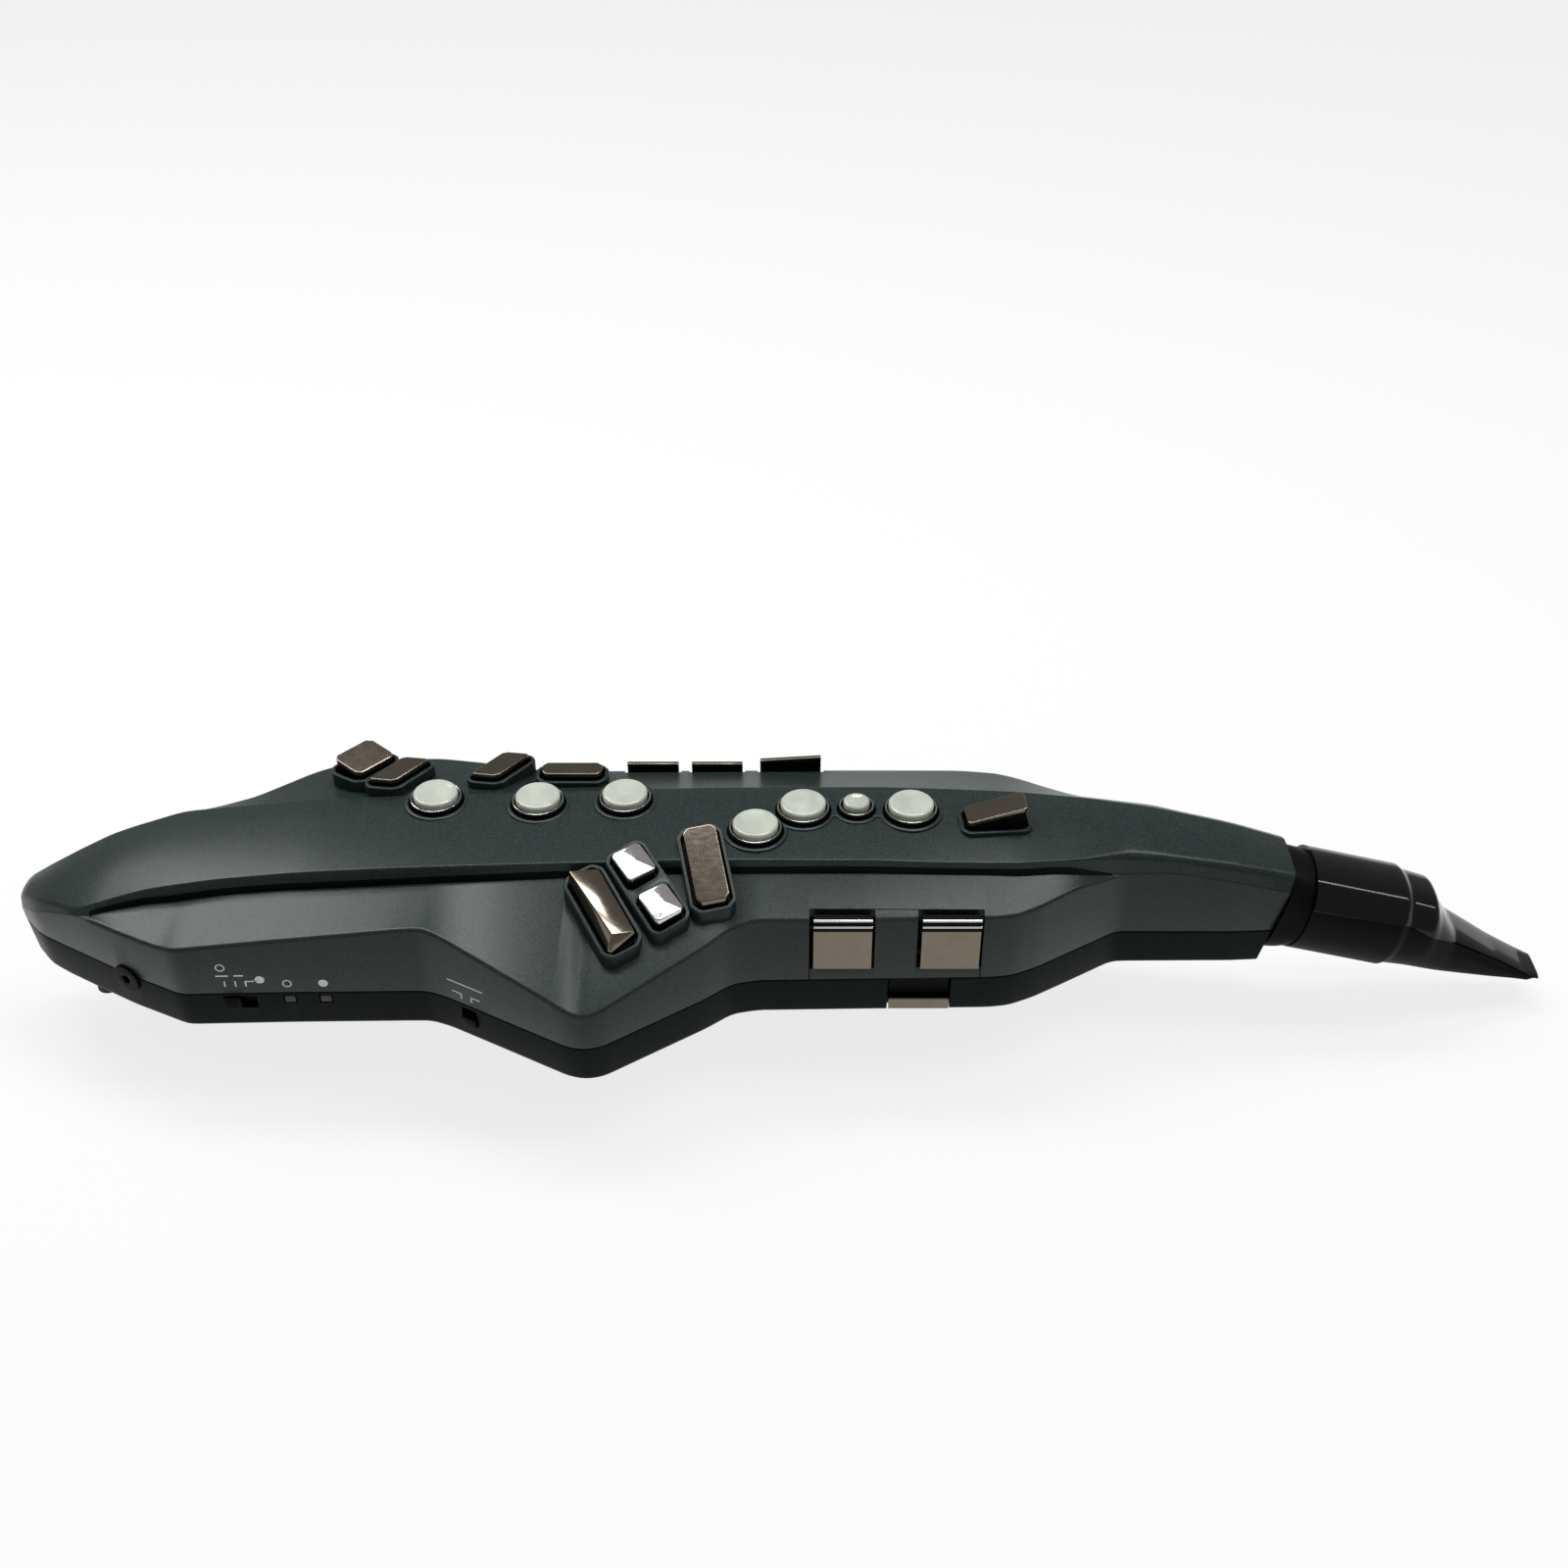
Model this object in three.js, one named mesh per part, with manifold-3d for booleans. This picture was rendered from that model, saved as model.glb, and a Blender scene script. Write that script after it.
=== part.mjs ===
// A digital wind controller: a long instrument body of two moulded shells, with sprung keys on top,
// along both sides and underneath, played through a beak mouthpiece on a short neck.
// Millimetres. +Z is up with the keys on top, +X points to the mouthpiece, and -Y is the player's left.
// The origin lies under the middle of the whole length, level with the flat of the thumb hook.
import * as THREE from "three";
import { mergeVertices } from "three/addons/utils/BufferGeometryUtils.js";
import Module from "manifold-3d";

const wasm = await Module();
wasm.setup();

// Driving dimensions of the body.
const bodyLength = 472; // nose of the bell to the top of the neck's end
const halfWidth = 64; // spine side to the tip of the left elbow, and to the bulge on the right
const spineHeight = 55.7; // bottom edge of the lower case to the highest stretch of the spine
const hookDrop = 27; // flat of the thumb hook to the bottom edge of the lower case
const seamRise = 15; // bottom edge of the lower case to the seam between the shells
const bellyDrop = 5; // bottom edge of the lower case to the flat of the belly
const caseWall = 2.2;
const wingEdgeRadius = 2.4;
const spineEdgeRadius = 7; // on the neck, where the spine's edges are softest
const stepLean = 1.4; // how far the spine's left side leans in over its height
const farStep = 0.8; // the crease between the spine and the right wing
const seamGap = 0.3;
const partGap = 0.35; // between pieces that are fixed to each other
const keyGap = 0.5; // between a key and its well
const cutReach = 30; // how far a cutter runs past what it cuts

// Driving dimensions of the keys.
const keyTravel = 1.5;
const keyRise = 2.4; // top of a touch plate above the rim of its well
const keySkirt = 7; // how far a key reaches down into its well below the rim
const keyEdge = 0.7; // chamfer round a touch plate
const plateGap = 1.1; // between a touch plate and its rim
const rimWidth = 1.3;
const skirtDrop = 2.6; // from the rim to where a key widens to its skirt
const cupDiameter = 19.6;
const pearlDiameter = 16.6;
const smallCupDiameter = 13.4;
const smallPearlDiameter = 9.6;

// Driving dimensions of the mouthpiece.
const mouthpieceTilt = THREE.MathUtils.degToRad(14);
const barrelRadius = 18.75;
const mouthpieceReach = 102; // top of the neck's end to the tip, along X
const boreRadius = 13;
const collarLength = 8.7;

const overallLength = bodyLength + mouthpieceReach;
const noseX = -overallLength / 2;
const neckEndX = noseX + bodyLength;
const bodyBase = hookDrop;
const seamZ = bodyBase + seamRise;
const bellyZ = bodyBase - bellyDrop;

const alongBody = (share) => noseX + share * bodyLength;
const acrossBody = (share) => share * halfWidth;
const aboveBase = (share) => bodyBase + share * spineHeight;

// Lines that run the length of the body. Each pair is a share of the body's length and a share of
// half its width, or of the height of the spine, and the line is straight between them.
const nearWallShares = [
  [0, 0.08], [0.005, 0.02], [0.021, -0.07], [0.064, -0.242], [0.1, -0.39], [0.14, -0.543],
  [0.155, -0.563], [0.32, -0.542], [0.335, -0.55], [0.35, -0.598], [0.445, -0.975], [0.458, -1],
  [0.47, -0.975], [0.545, -0.606], [0.563, -0.502], [0.58, -0.46], [0.74, -0.431], [0.77, -0.416],
  [0.797, -0.336], [0.856, -0.078], [0.873, -0.04], [0.958, -0.02], [1.05, 0.01],
];
const nearGrooveShares = [
  [0, 0.09], [0.005, 0.03], [0.021, -0.06], [0.064, -0.232], [0.072, -0.265], [0.1, -0.184],
  [0.115, -0.17], [0.155, -0.156], [0.32, -0.162], [0.797, -0.166], [0.856, -0.05], [0.873, -0.018],
  [0.958, 0.002], [1.05, 0.032],
];
const farGrooveShares = [
  [0, 0.24], [0.005, 0.275], [0.021, 0.32], [0.064, 0.395], [0.1, 0.46], [0.14, 0.536],
  [0.2, 0.535], [0.545, 0.526], [0.68, 0.52], [0.77, 0.475], [0.82, 0.456], [0.873, 0.425],
  [0.93, 0.4], [1.05, 0.35],
];
const farWallShares = [
  [0, 0.27], [0.005, 0.305], [0.021, 0.35], [0.064, 0.422], [0.1, 0.484], [0.14, 0.57],
  [0.178, 0.69], [0.22, 0.885], [0.25, 0.975], [0.29, 1], [0.335, 0.995], [0.365, 0.955],
  [0.4, 0.885], [0.42, 0.862], [0.74, 0.86], [0.77, 0.82], [0.797, 0.73], [0.82, 0.648],
  [0.856, 0.55], [0.873, 0.51], [0.93, 0.455], [1.05, 0.39],
];
const spineTopShares = [
  [0, 0.449], [0.005, 0.51], [0.021, 0.58], [0.064, 0.677], [0.115, 0.772], [0.178, 0.838],
  [0.22, 0.876], [0.32, 0.925], [0.42, 0.963], [0.545, 0.989], [0.68, 1], [0.77, 1],
  [0.82, 0.975], [0.873, 0.937], [0.93, 0.857], [0.958, 0.808], [1.05, 0.633],
];
const nearEdgeShares = [
  [0, 0.36], [0.005, 0.42], [0.021, 0.49], [0.064, 0.6], [0.072, 0.618], [0.14, 0.632],
  [0.155, 0.642], [0.22, 0.7], [0.32, 0.772], [0.335, 0.78], [0.4, 0.665], [0.445, 0.565],
  [0.458, 0.54], [0.47, 0.56], [0.545, 0.7], [0.563, 0.752], [0.58, 0.77], [0.77, 0.776],
  [0.797, 0.79], [0.856, 0.745], [0.873, 0.7], [0.93, 0.6], [1.05, 0.37],
];
const nearWingShares = [
  [0, 0.38], [0.005, 0.44], [0.021, 0.51], [0.064, 0.61], [0.072, 0.63], [0.115, 0.668],
  [0.178, 0.728], [0.22, 0.768], [0.32, 0.838], [0.545, 0.908], [0.77, 0.92], [0.797, 0.885],
  [0.856, 0.775], [0.873, 0.72], [0.93, 0.62], [1.05, 0.39],
];
const farFallShares = [
  [0, 0.03], [0.14, 0.03], [0.178, 0.045], [0.22, 0.055], [0.29, 0.078], [0.42, 0.11],
  [0.545, 0.143], [0.68, 0.15], [0.77, 0.15], [0.82, 0.11], [0.873, 0.06], [1.05, 0.04],
];
const spineRoundShares = [
  [0, 0.15], [0.021, 0.3], [0.064, 0.22], [0.115, 0.2], [0.797, 0.2], [0.856, 0.4], [0.93, 0.85], [1.05, 1],
];
const bellyMidShares = [[0, 0.17], [0.064, 0.09], [0.14, 0.1], [0.25, 0.18], [1.05, 0.19]];
const bellyHalfShares = [
  [0, 0.03], [0.021, 0.12], [0.064, 0.24], [0.1, 0.34], [0.155, 0.43], [0.77, 0.43], [0.856, 0.17],
  [0.873, 0.14], [1.05, 0.09],
];
const bellyDropShares = [[0, 0.1], [0.064, 0.6], [0.1, 1], [0.82, 1], [0.873, 0.3], [1.05, 0]];
const stationShares = [
  0, 0.005, 0.021, 0.042, 0.064, 0.072, 0.1, 0.115, 0.14, 0.155, 0.178, 0.2, 0.22, 0.25, 0.29,
  0.32, 0.335, 0.35, 0.365, 0.4, 0.42, 0.445, 0.458, 0.47, 0.51, 0.545, 0.563, 0.58, 0.68, 0.74,
  0.77, 0.797, 0.82, 0.856, 0.873, 0.9, 0.93, 0.958, 1.05,
];
const cornerShare = 0.5; // the most of the left wing's width that its rounded edge takes
const farCornerShare = 0.9; // the same on the right, where the neck's edge is softer
const roundShare = 0.29; // where a rounded corner's middle lies, as a share of its radius
const innerDepthShare = 1.2; // a sloping wall's depth under the skin, as a share of its thickness
const crownShare = 0.012; // rise of the spine's middle over its edges, as a share of its height

// Reads a line along the body at a share of the body's length.
function lineAt(shares, share) {
  const after = Math.max(1, shares.findIndex(([at]) => at >= share));
  const [fromAt, fromValue] = shares[after - 1];
  const [toAt, toValue] = shares[after];
  return fromValue + ((toValue - fromValue) * (share - fromAt)) / (toAt - fromAt);
}

// The named heights and widths of the body at one station.
function stationAt(share) {
  const nearWall = acrossBody(lineAt(nearWallShares, share));
  const nearGroove = acrossBody(lineAt(nearGrooveShares, share));
  const farGroove = acrossBody(lineAt(farGrooveShares, share));
  const farWall = acrossBody(lineAt(farWallShares, share));
  const spineTop = aboveBase(lineAt(spineTopShares, share));
  const spineRound = spineEdgeRadius * lineAt(spineRoundShares, share);
  const farRound = Math.max(wingEdgeRadius, spineRound);
  return {
    nearWall,
    nearGroove,
    farGroove,
    farWall,
    spineTop,
    nearEdge: aboveBase(lineAt(nearEdgeShares, share)),
    nearWing: aboveBase(lineAt(nearWingShares, share)),
    farWing: spineTop - farStep,
    farEdge: spineTop - farStep - spineHeight * lineAt(farFallShares, share),
    nearRound: Math.min(wingEdgeRadius, cornerShare * (nearGroove - nearWall)),
    farRound: Math.min(farRound, farCornerShare * (farWall - farGroove)),
    spineRound,
    bellyMid: acrossBody(lineAt(bellyMidShares, share)),
    bellyHalf: acrossBody(lineAt(bellyHalfShares, share)),
    belly: bodyBase - bellyDrop * lineAt(bellyDropShares, share),
  };
}

// The upper shell's outside at one station, from the left seam over the spine to the right seam.
function upperOutline(share) {
  const s = stationAt(share);
  const crown = s.spineTop + crownShare * spineHeight;
  return [
    [s.nearWall, seamZ + seamGap / 2],
    [s.nearWall, s.nearEdge - s.nearRound],
    [s.nearWall + roundShare * s.nearRound, s.nearEdge - roundShare * s.nearRound],
    [s.nearWall + s.nearRound, s.nearEdge],
    [s.nearGroove, s.nearWing],
    [s.nearGroove + stepLean, s.spineTop - s.spineRound],
    [s.nearGroove + stepLean + roundShare * s.spineRound, s.spineTop - roundShare * s.spineRound],
    [s.nearGroove + stepLean + s.spineRound, s.spineTop],
    [(s.nearGroove + s.farGroove) / 2, crown],
    [s.farGroove - farStep, s.spineTop],
    [s.farGroove, s.farWing],
    [s.farWall - s.farRound, s.farEdge],
    [s.farWall - roundShare * s.farRound, s.farEdge - roundShare * s.farRound],
    [s.farWall, s.farEdge - s.farRound],
    [s.farWall, seamZ + seamGap / 2],
  ];
}

// The upper shell's hollow at one station, open below the seam.
function upperHollow(share) {
  const s = stationAt(share);
  const depth = innerDepthShare * caseWall;
  const round = Math.max(roundShare * caseWall, s.spineRound - depth);
  const shoulder = s.spineTop - round - depth;
  return [
    [s.nearWall + caseWall, seamZ - cutReach],
    [s.nearWall + caseWall, s.nearEdge - s.nearRound - depth],
    [s.nearGroove + caseWall, s.nearWing - depth],
    [s.nearGroove + stepLean + depth, shoulder],
    [s.nearGroove + stepLean + depth + round, s.spineTop - depth],
    [s.farGroove - caseWall, s.farWing - depth],
    [s.farWall - caseWall, s.farEdge - s.farRound - depth],
    [s.farWall - caseWall, seamZ - cutReach],
  ];
}

// The lower shell's outside at one station, and its hollow when thickness is the wall's.
function lowerOutline(share, thickness) {
  const s = stationAt(share);
  const cornerRadius = wingEdgeRadius;
  const top = thickness ? seamZ + cutReach : seamZ - seamGap / 2;
  const near = s.nearWall + thickness;
  const far = s.farWall - thickness;
  const base = bodyBase + thickness;
  return [
    [near, top],
    [near, base + cornerRadius],
    [near + cornerRadius, base],
    [s.bellyMid - s.bellyHalf, s.belly + thickness],
    [s.bellyMid + s.bellyHalf, s.belly + thickness],
    [far - cornerRadius, base],
    [far, base + cornerRadius],
    [far, top],
  ];
}

const weldDistance = 1e-4;
const roundSides = 20;
const bossSides = 10;
const wireSides = 8;

// Turns a closed geometry into a solid that can be joined and cut.
function solidOf(geometry) {
  const bare = new THREE.BufferGeometry();
  const loose = geometry.index ? geometry.toNonIndexed() : geometry;
  bare.setAttribute("position", loose.getAttribute("position"));
  const merged = mergeVertices(bare, weldDistance);
  return new wasm.Manifold(
    new wasm.Mesh({
      numProp: 3,
      vertProperties: merged.attributes.position.array,
      triVerts: new Uint32Array(merged.index.array),
    }),
  );
}

// Turns a solid back into a geometry with flat faces.
function geometryOf(solid) {
  const mesh = solid.getMesh();
  const positions = new Float32Array(mesh.numVert * 3);
  for (let i = 0; i < mesh.numVert; i += 1) {
    const at = i * mesh.numProp;
    positions.set(mesh.vertProperties.subarray(at, at + 3), i * 3);
  }
  const geometry = new THREE.BufferGeometry();
  geometry.setAttribute("position", new THREE.BufferAttribute(positions, 3));
  geometry.setIndex(new THREE.BufferAttribute(new Uint32Array(mesh.triVerts), 1));
  const faceted = geometry.toNonIndexed();
  faceted.computeVertexNormals();
  return faceted;
}

// Skins a row of outlines and closes its ends: each has its place on X, and its points as [y, z].
function lofted(outlines) {
  const flat = outlines[0].points.map(([y, z]) => new THREE.Vector2(y, z));
  const turnRound = THREE.ShapeUtils.isClockWise(flat);
  const rings = outlines.map(({ x, points }) => {
    const ring = points.map(([y, z]) => [x, y, z]);
    return turnRound ? ring.reverse() : ring;
  });
  return ringSkin(rings, ([, y, z]) => new THREE.Vector2(y, z));
}

// Skins closed rings of points, which go round anticlockwise as seen from the last one's side.
function ringSkin(rings, flatten) {
  const count = rings[0].length;
  const faces = [];
  for (let ring = 0; ring < rings.length - 1; ring += 1) {
    for (let i = 0; i < count; i += 1) {
      const a = ring * count + i;
      const b = ring * count + ((i + 1) % count);
      faces.push(a, b, a + count, b, b + count, a + count);
    }
  }
  const last = (rings.length - 1) * count;
  for (const [a, b, c] of THREE.ShapeUtils.triangulateShape(rings[0].map(flatten), [])) {
    faces.push(a, c, b);
  }
  for (const [a, b, c] of THREE.ShapeUtils.triangulateShape(rings[rings.length - 1].map(flatten), [])) {
    faces.push(last + a, last + b, last + c);
  }
  const geometry = new THREE.BufferGeometry();
  geometry.setAttribute("position", new THREE.Float32BufferAttribute(rings.flat(2), 3));
  geometry.setIndex(faces);
  return geometry;
}

// A skin along the body, between two shares of its length.
function bodyLoft(outlineAt, firstShare, lastShare) {
  const inside = stationShares.filter((share) => share > firstShare && share < lastShare);
  const shares = [firstShare, ...inside, lastShare];
  return solidOf(lofted(shares.map((share) => ({ x: alongBody(share), points: outlineAt(share) }))));
}

// A block between two corners.
function block(low, high) {
  const size = new THREE.Vector3().subVectors(high, low);
  const middle = new THREE.Vector3().addVectors(low, high).multiplyScalar(0.5);
  const geometry = new THREE.BoxGeometry(size.x, size.y, size.z);
  geometry.translate(middle.x, middle.y, middle.z);
  return solidOf(geometry);
}
const corner = (x, y, z) => new THREE.Vector3(x, y, z);

// A turned piece: its profile is [radius, height] going up the outside, closed on itself or on the axis.
function turned(profile, sides) {
  const points = profile.map(([radius, height]) => new THREE.Vector2(radius, height));
  const geometry = new THREE.LatheGeometry(points, sides);
  geometry.rotateX(Math.PI / 2);
  return geometry;
}

// A plain round post, standing on its low end.
function post(x, y, low, high, radius, sides = roundSides) {
  const geometry = turned([[0, low], [radius, low], [radius, high], [0, high]], sides);
  geometry.translate(x, y, 0);
  return solidOf(geometry);
}

// A rectangle with cut corners, as [x, y] points going round anticlockwise about its own middle.
function cutRectangle(length, width, cut) {
  const [a, b] = [length / 2, width / 2];
  return [
    [a - cut, -b], [a, -b + cut], [a, b - cut], [a - cut, b],
    [-a + cut, b], [-a, b - cut], [-a, -b + cut], [-a + cut, -b],
  ];
}

// Turns an outline about its middle and moves it to its place.
function placed(outline, { x, y, angle }) {
  const [c, s] = [Math.cos(angle), Math.sin(angle)];
  return outline.map(([a, b]) => [x + c * a - s * b, y + s * a + c * b]);
}

// Moves each side of a convex outline in by a distance.
function inset(outline, distance) {
  return outline.map(([x, y], i) => {
    const [px, py] = outline[(i + outline.length - 1) % outline.length];
    const [nx, ny] = outline[(i + 1) % outline.length];
    const before = new THREE.Vector2(x - px, y - py).normalize();
    const after = new THREE.Vector2(nx - x, ny - y).normalize();
    const reach = distance / (1 + before.dot(after));
    return [x - (before.y + after.y) * reach, y + (before.x + after.x) * reach];
  });
}

// An upright prism over an outline, whose ends follow surfaces given as functions of x and y, with an
// optional chamfer round its top.
function prism(outline, bottomAt, topAt, chamfer = 0) {
  const rings = [
    outline.map(([x, y]) => [x, y, bottomAt(x, y)]),
    outline.map(([x, y]) => [x, y, topAt(x, y) - chamfer]),
  ];
  if (chamfer) rings.push(inset(outline, chamfer).map(([x, y]) => [x, y, topAt(x, y)]));
  return solidOf(ringSkin(rings, ([x, y]) => new THREE.Vector2(x, y)));
}
const level = (z) => () => z;

// Finishes. The colours are those that the pieces show in plain light.
const graphitePaint = { color: 0x3c4646, roughness: 0.45, metalness: 0.55 };
const satinBlack = { color: 0x161a1b, roughness: 0.4, metalness: 0.1 };
const glossBlack = { color: 0x08090a, roughness: 0.12, metalness: 0 };
const darkNickel = { color: 0x6c655d, roughness: 0.18, metalness: 0.95 };
const brightChrome = { color: 0xb9b9b8, roughness: 0.1, metalness: 1 };
const pearlWhite = { color: 0xe3e8e4, roughness: 0.22, metalness: 0 };
const softRubber = { color: 0x1a1b1c, roughness: 0.85, metalness: 0 };
const boardGreen = { color: 0x1d4a2e, roughness: 0.6, metalness: 0.1 };
const plainSteel = { color: 0x9a9c9e, roughness: 0.35, metalness: 0.9 };
const paleWrap = { color: 0xc9cdd0, roughness: 0.4, metalness: 0.2 };
const smokedLens = { color: 0x2b3033, roughness: 0.15, metalness: 0 };
const clearTube = { color: 0xd5dadb, roughness: 0.3, metalness: 0 };

const instrument = new THREE.Group();
const keys = new THREE.Group();
const mouthpieceGroup = new THREE.Group();
instrument.add(keys, mouthpieceGroup);

function addPiece(name, shape, finish, parent = instrument) {
  const geometry = shape instanceof THREE.BufferGeometry ? shape : geometryOf(shape);
  const mesh = new THREE.Mesh(geometry, new THREE.MeshStandardMaterial(finish));
  mesh.name = name;
  parent.add(mesh);
}

// The height of the spine, as a key's well needs it.
const shareOf = (x) => (x - noseX) / bodyLength;
const spineAt = (x) => stationAt(shareOf(x)).spineTop;

// The keys are spaced as the fingers are, from one place on the body, however long the body is.
const keysMiddle = alongBody(0.4703);

// Round pearl keys. Each is a cup that slides in a well with a low lip, with a pearl disc in it.
const lipWidth = 1.5;
const lipRise = 1;
const cupRise = 2.8;
const cupRim = 0.7; // wall of the cup round the pearl
const pearlSeat = 1.6; // depth of the cup's dish below its rim
const pearlProud = 2.2; // rise of the pearl's face above the rim of its cup
const pearlEdge = 1.1;
const lowerKeysBack = 28; // right hand's middle round key, back from the middle of the keys
const upperKeysAhead = 69.9; // left hand's middle round key, ahead of it
const lowerKeysAnchor = { x: keysMiddle - lowerKeysBack, y: acrossBody(0.392) };
const upperKeysAnchor = { x: keysMiddle + upperKeysAhead, y: acrossBody(0.276) };
const lowerKeyOffsetShares = [[-1.959, 0.179], [0, 0], [1.643, 0.026]];
const upperKeyOffsetShares = [[-0.883, -0.602], [0, 0], [2.01, -0.036]];
const smallKeyOffsetShares = [0.995, 0.041];
const keyAt = (anchor, [along, across]) => ({
  x: anchor.x + along * cupDiameter,
  y: anchor.y + across * cupDiameter,
});
const roundKeys = [
  ...lowerKeyOffsetShares.map((shares) => keyAt(lowerKeysAnchor, shares)),
  ...upperKeyOffsetShares.map((shares) => keyAt(upperKeysAnchor, shares)),
].map((place, i) => ({ ...place, name: `${i + 1}`, cup: cupDiameter / 2, pearl: pearlDiameter / 2 }));
roundKeys.push({
  ...keyAt(upperKeysAnchor, smallKeyOffsetShares),
  name: "small",
  cup: smallCupDiameter / 2,
  pearl: smallPearlDiameter / 2,
});

function roundKeyCup({ x, y, cup, pearl }) {
  const skin = spineAt(x);
  const rim = skin + cupRise;
  const dish = rim - pearlSeat;
  const seat = pearl + partGap;
  const geometry = turned(
    [
      [0, skin - keySkirt],
      [cup, skin - keySkirt],
      [cup, rim - cupRim],
      [cup - cupRim / 2, rim],
      [seat, rim],
      [seat, dish],
      [0, dish],
    ],
    roundSides,
  );
  return geometry.translate(x, y, 0);
}

function roundKeyPearl({ x, y, pearl }) {
  const rim = spineAt(x) + cupRise;
  const geometry = turned(
    [
      [0, rim - pearlSeat + partGap],
      [pearl, rim - pearlSeat + partGap],
      [pearl, rim + pearlProud - pearlEdge],
      [pearl - pearlEdge, rim + pearlProud],
      [0, rim + pearlProud],
    ],
    roundSides,
  );
  return geometry.translate(x, y, 0);
}

for (const key of roundKeys) {
  addPiece(`key_cup_${key.name}`, roundKeyCup(key), glossBlack, keys);
  addPiece(`key_pearl_${key.name}`, roundKeyPearl(key), pearlWhite, keys);
}
const roundLips = roundKeys.map(({ x, y, cup }) =>
  post(x, y, spineAt(x) - keySkirt, spineAt(x) + lipRise, cup + keyGap + lipWidth),
);
const roundWells = roundKeys.map(({ x, y, cup }) =>
  post(x, y, spineAt(x) - cutReach, spineAt(x) + cutReach, cup + keyGap),
);

// Touch plates that stand on raised rims: each has its middle, the angle of its length from +X, its
// length, width and cut corners, and the plane that its rim follows.
const wingSlope = 0.36; // rise of the near wing towards the spine
const clusterAngle = THREE.MathUtils.degToRad(-59.5);
const pairAngle = THREE.MathUtils.degToRad(-57);
const longKeyLength = 31.5;
const longKeyWidth = 11.2;
const smallKeyLength = 13.5;
const smallKeyWidth = 11.4;
const smallKeyLand = 5; // between the two small plates, filled by the rim round both
const clusterLand = 6.5; // between the long plate and the small ones
const longKeyShift = 0.6; // the long plate's middle towards the left edge, from the cluster's anchor
const flatKeyLength = 29.5;
const flatKeyWidth = 12;
const flatKeyLand = 9.7; // between the small plates and the flat one
const flatKeyAngle = THREE.MathUtils.degToRad(-78);
const flatKeyShift = 4.1; // the flat plate's middle past the others', towards the left edge
const clusterRise = 5.6; // the cluster's rims above the wing
const plateCut = 1.8;
const clusterAnchor = { x: keysMiddle, y: acrossBody(-0.448) };

const clusterPlace = (along, across) => ({
  x: clusterAnchor.x + Math.cos(clusterAngle) * along - Math.sin(clusterAngle) * across,
  y: clusterAnchor.y + Math.sin(clusterAngle) * along + Math.cos(clusterAngle) * across,
});
const clusterRim = (x, y) =>
  aboveBase(lineAt(nearWingShares, shareOf(clusterAnchor.x))) +
  clusterRise +
  wingSlope * (y - acrossBody(lineAt(nearGrooveShares, shareOf(clusterAnchor.x))));
const smallAcross = (longKeyWidth + smallKeyWidth) / 2 + clusterLand - longKeyShift;
const smallAlong = (smallKeyLength + smallKeyLand) / 2;
const flatAcross = smallAcross + (smallKeyWidth + flatKeyWidth) / 2 + flatKeyLand;
const longPlace = { ...clusterPlace(0, -longKeyShift), angle: clusterAngle };
const pairPlace = { ...clusterPlace(0, smallAcross), angle: pairAngle };
const smallPlace = (along) => ({
  x: pairPlace.x + Math.cos(pairAngle) * along,
  y: pairPlace.y + Math.sin(pairAngle) * along,
  angle: pairAngle,
});

// The long plate climbs to a ridge at its left edge; the small plates are flatter than their rims.
const ridgeClimb = 0.28;
const smallClimb = 0.22;
const acrossFrom = (place, x, y) => Math.cos(place.angle) * (y - place.y) - Math.sin(place.angle) * (x - place.x);
const ridgeTop = (x, y) =>
  clusterRim(x, y) + keyRise + ridgeClimb * (longKeyWidth / 2 - acrossFrom(longPlace, x, y));
const smallTop = (place) => (x, y) => clusterRim(place.x, place.y) + keyRise + smallClimb * (y - place.y);

// The front lever rises towards the mouthpiece, over a level rim on the spine.
const leverLength = 21.4;
const leverWidth = 10.4;
const leverCut = 1;
const leverAngle = THREE.MathUtils.degToRad(4.5);
const leverRise = 2.6; // top of the lever above its rim, at its low end
const leverClimb = 0.27;
const leverRimRise = 1.4;
const leverLip = 1.2;
const leverAhead = 139.5;
const leverPlace = { x: keysMiddle + leverAhead, y: acrossBody(0.178), angle: leverAngle };
const leverRim = spineAt(leverPlace.x) + leverRimRise;

// Right-hand side plates on the far wing, on rims of one height, and one plate that climbs outwards.
const farRimHeight = aboveBase(0.96);
const slantAngle = THREE.MathUtils.degToRad(51.5);
const slantLength = 18;
const slantWidth = 8.9;
const slantLean = 0.6; // how far a slanted plate's ends lean, as a share of the width
const slantCut = 1.2;
const sideLevelLength = 22.6;
const sideLevelWidth = 7.4;
const tallLength = 17.4;
const tallWidth = 12.2;
const tallLean = 0.2;
const tallAngle = THREE.MathUtils.degToRad(47.5);
const tallClimb = 0.26;
const slantFirstBack = 82.4;
const slantSecondBack = 44.4;
const sideLevelBack = 17.1;
const slantFirst = { x: keysMiddle - slantFirstBack, y: acrossBody(0.688), angle: slantAngle };
const slantSecond = { x: keysMiddle - slantSecondBack, y: acrossBody(0.738), angle: slantAngle };
const sideLevel = { x: keysMiddle - sideLevelBack, y: acrossBody(0.69), angle: 0 };
const tallLand = 3.9; // between the tall plate and the first slanted one
const tallOffset = (tallWidth + slantWidth) / 2 + tallLand;
const tallShift = 4.2; // the tall plate's middle back from the first slanted one's, along their length
const tallPlace = {
  x: slantFirst.x - Math.sin(slantAngle) * tallOffset - Math.cos(slantAngle) * tallShift,
  y: slantFirst.y + Math.cos(slantAngle) * tallOffset - Math.sin(slantAngle) * tallShift,
  angle: tallAngle,
};
const farRim = level(farRimHeight);
const tallTop = (x, y) => farRimHeight + keyRise + tallClimb * (tallWidth / 2 + acrossFrom(tallPlace, x, y));

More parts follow.
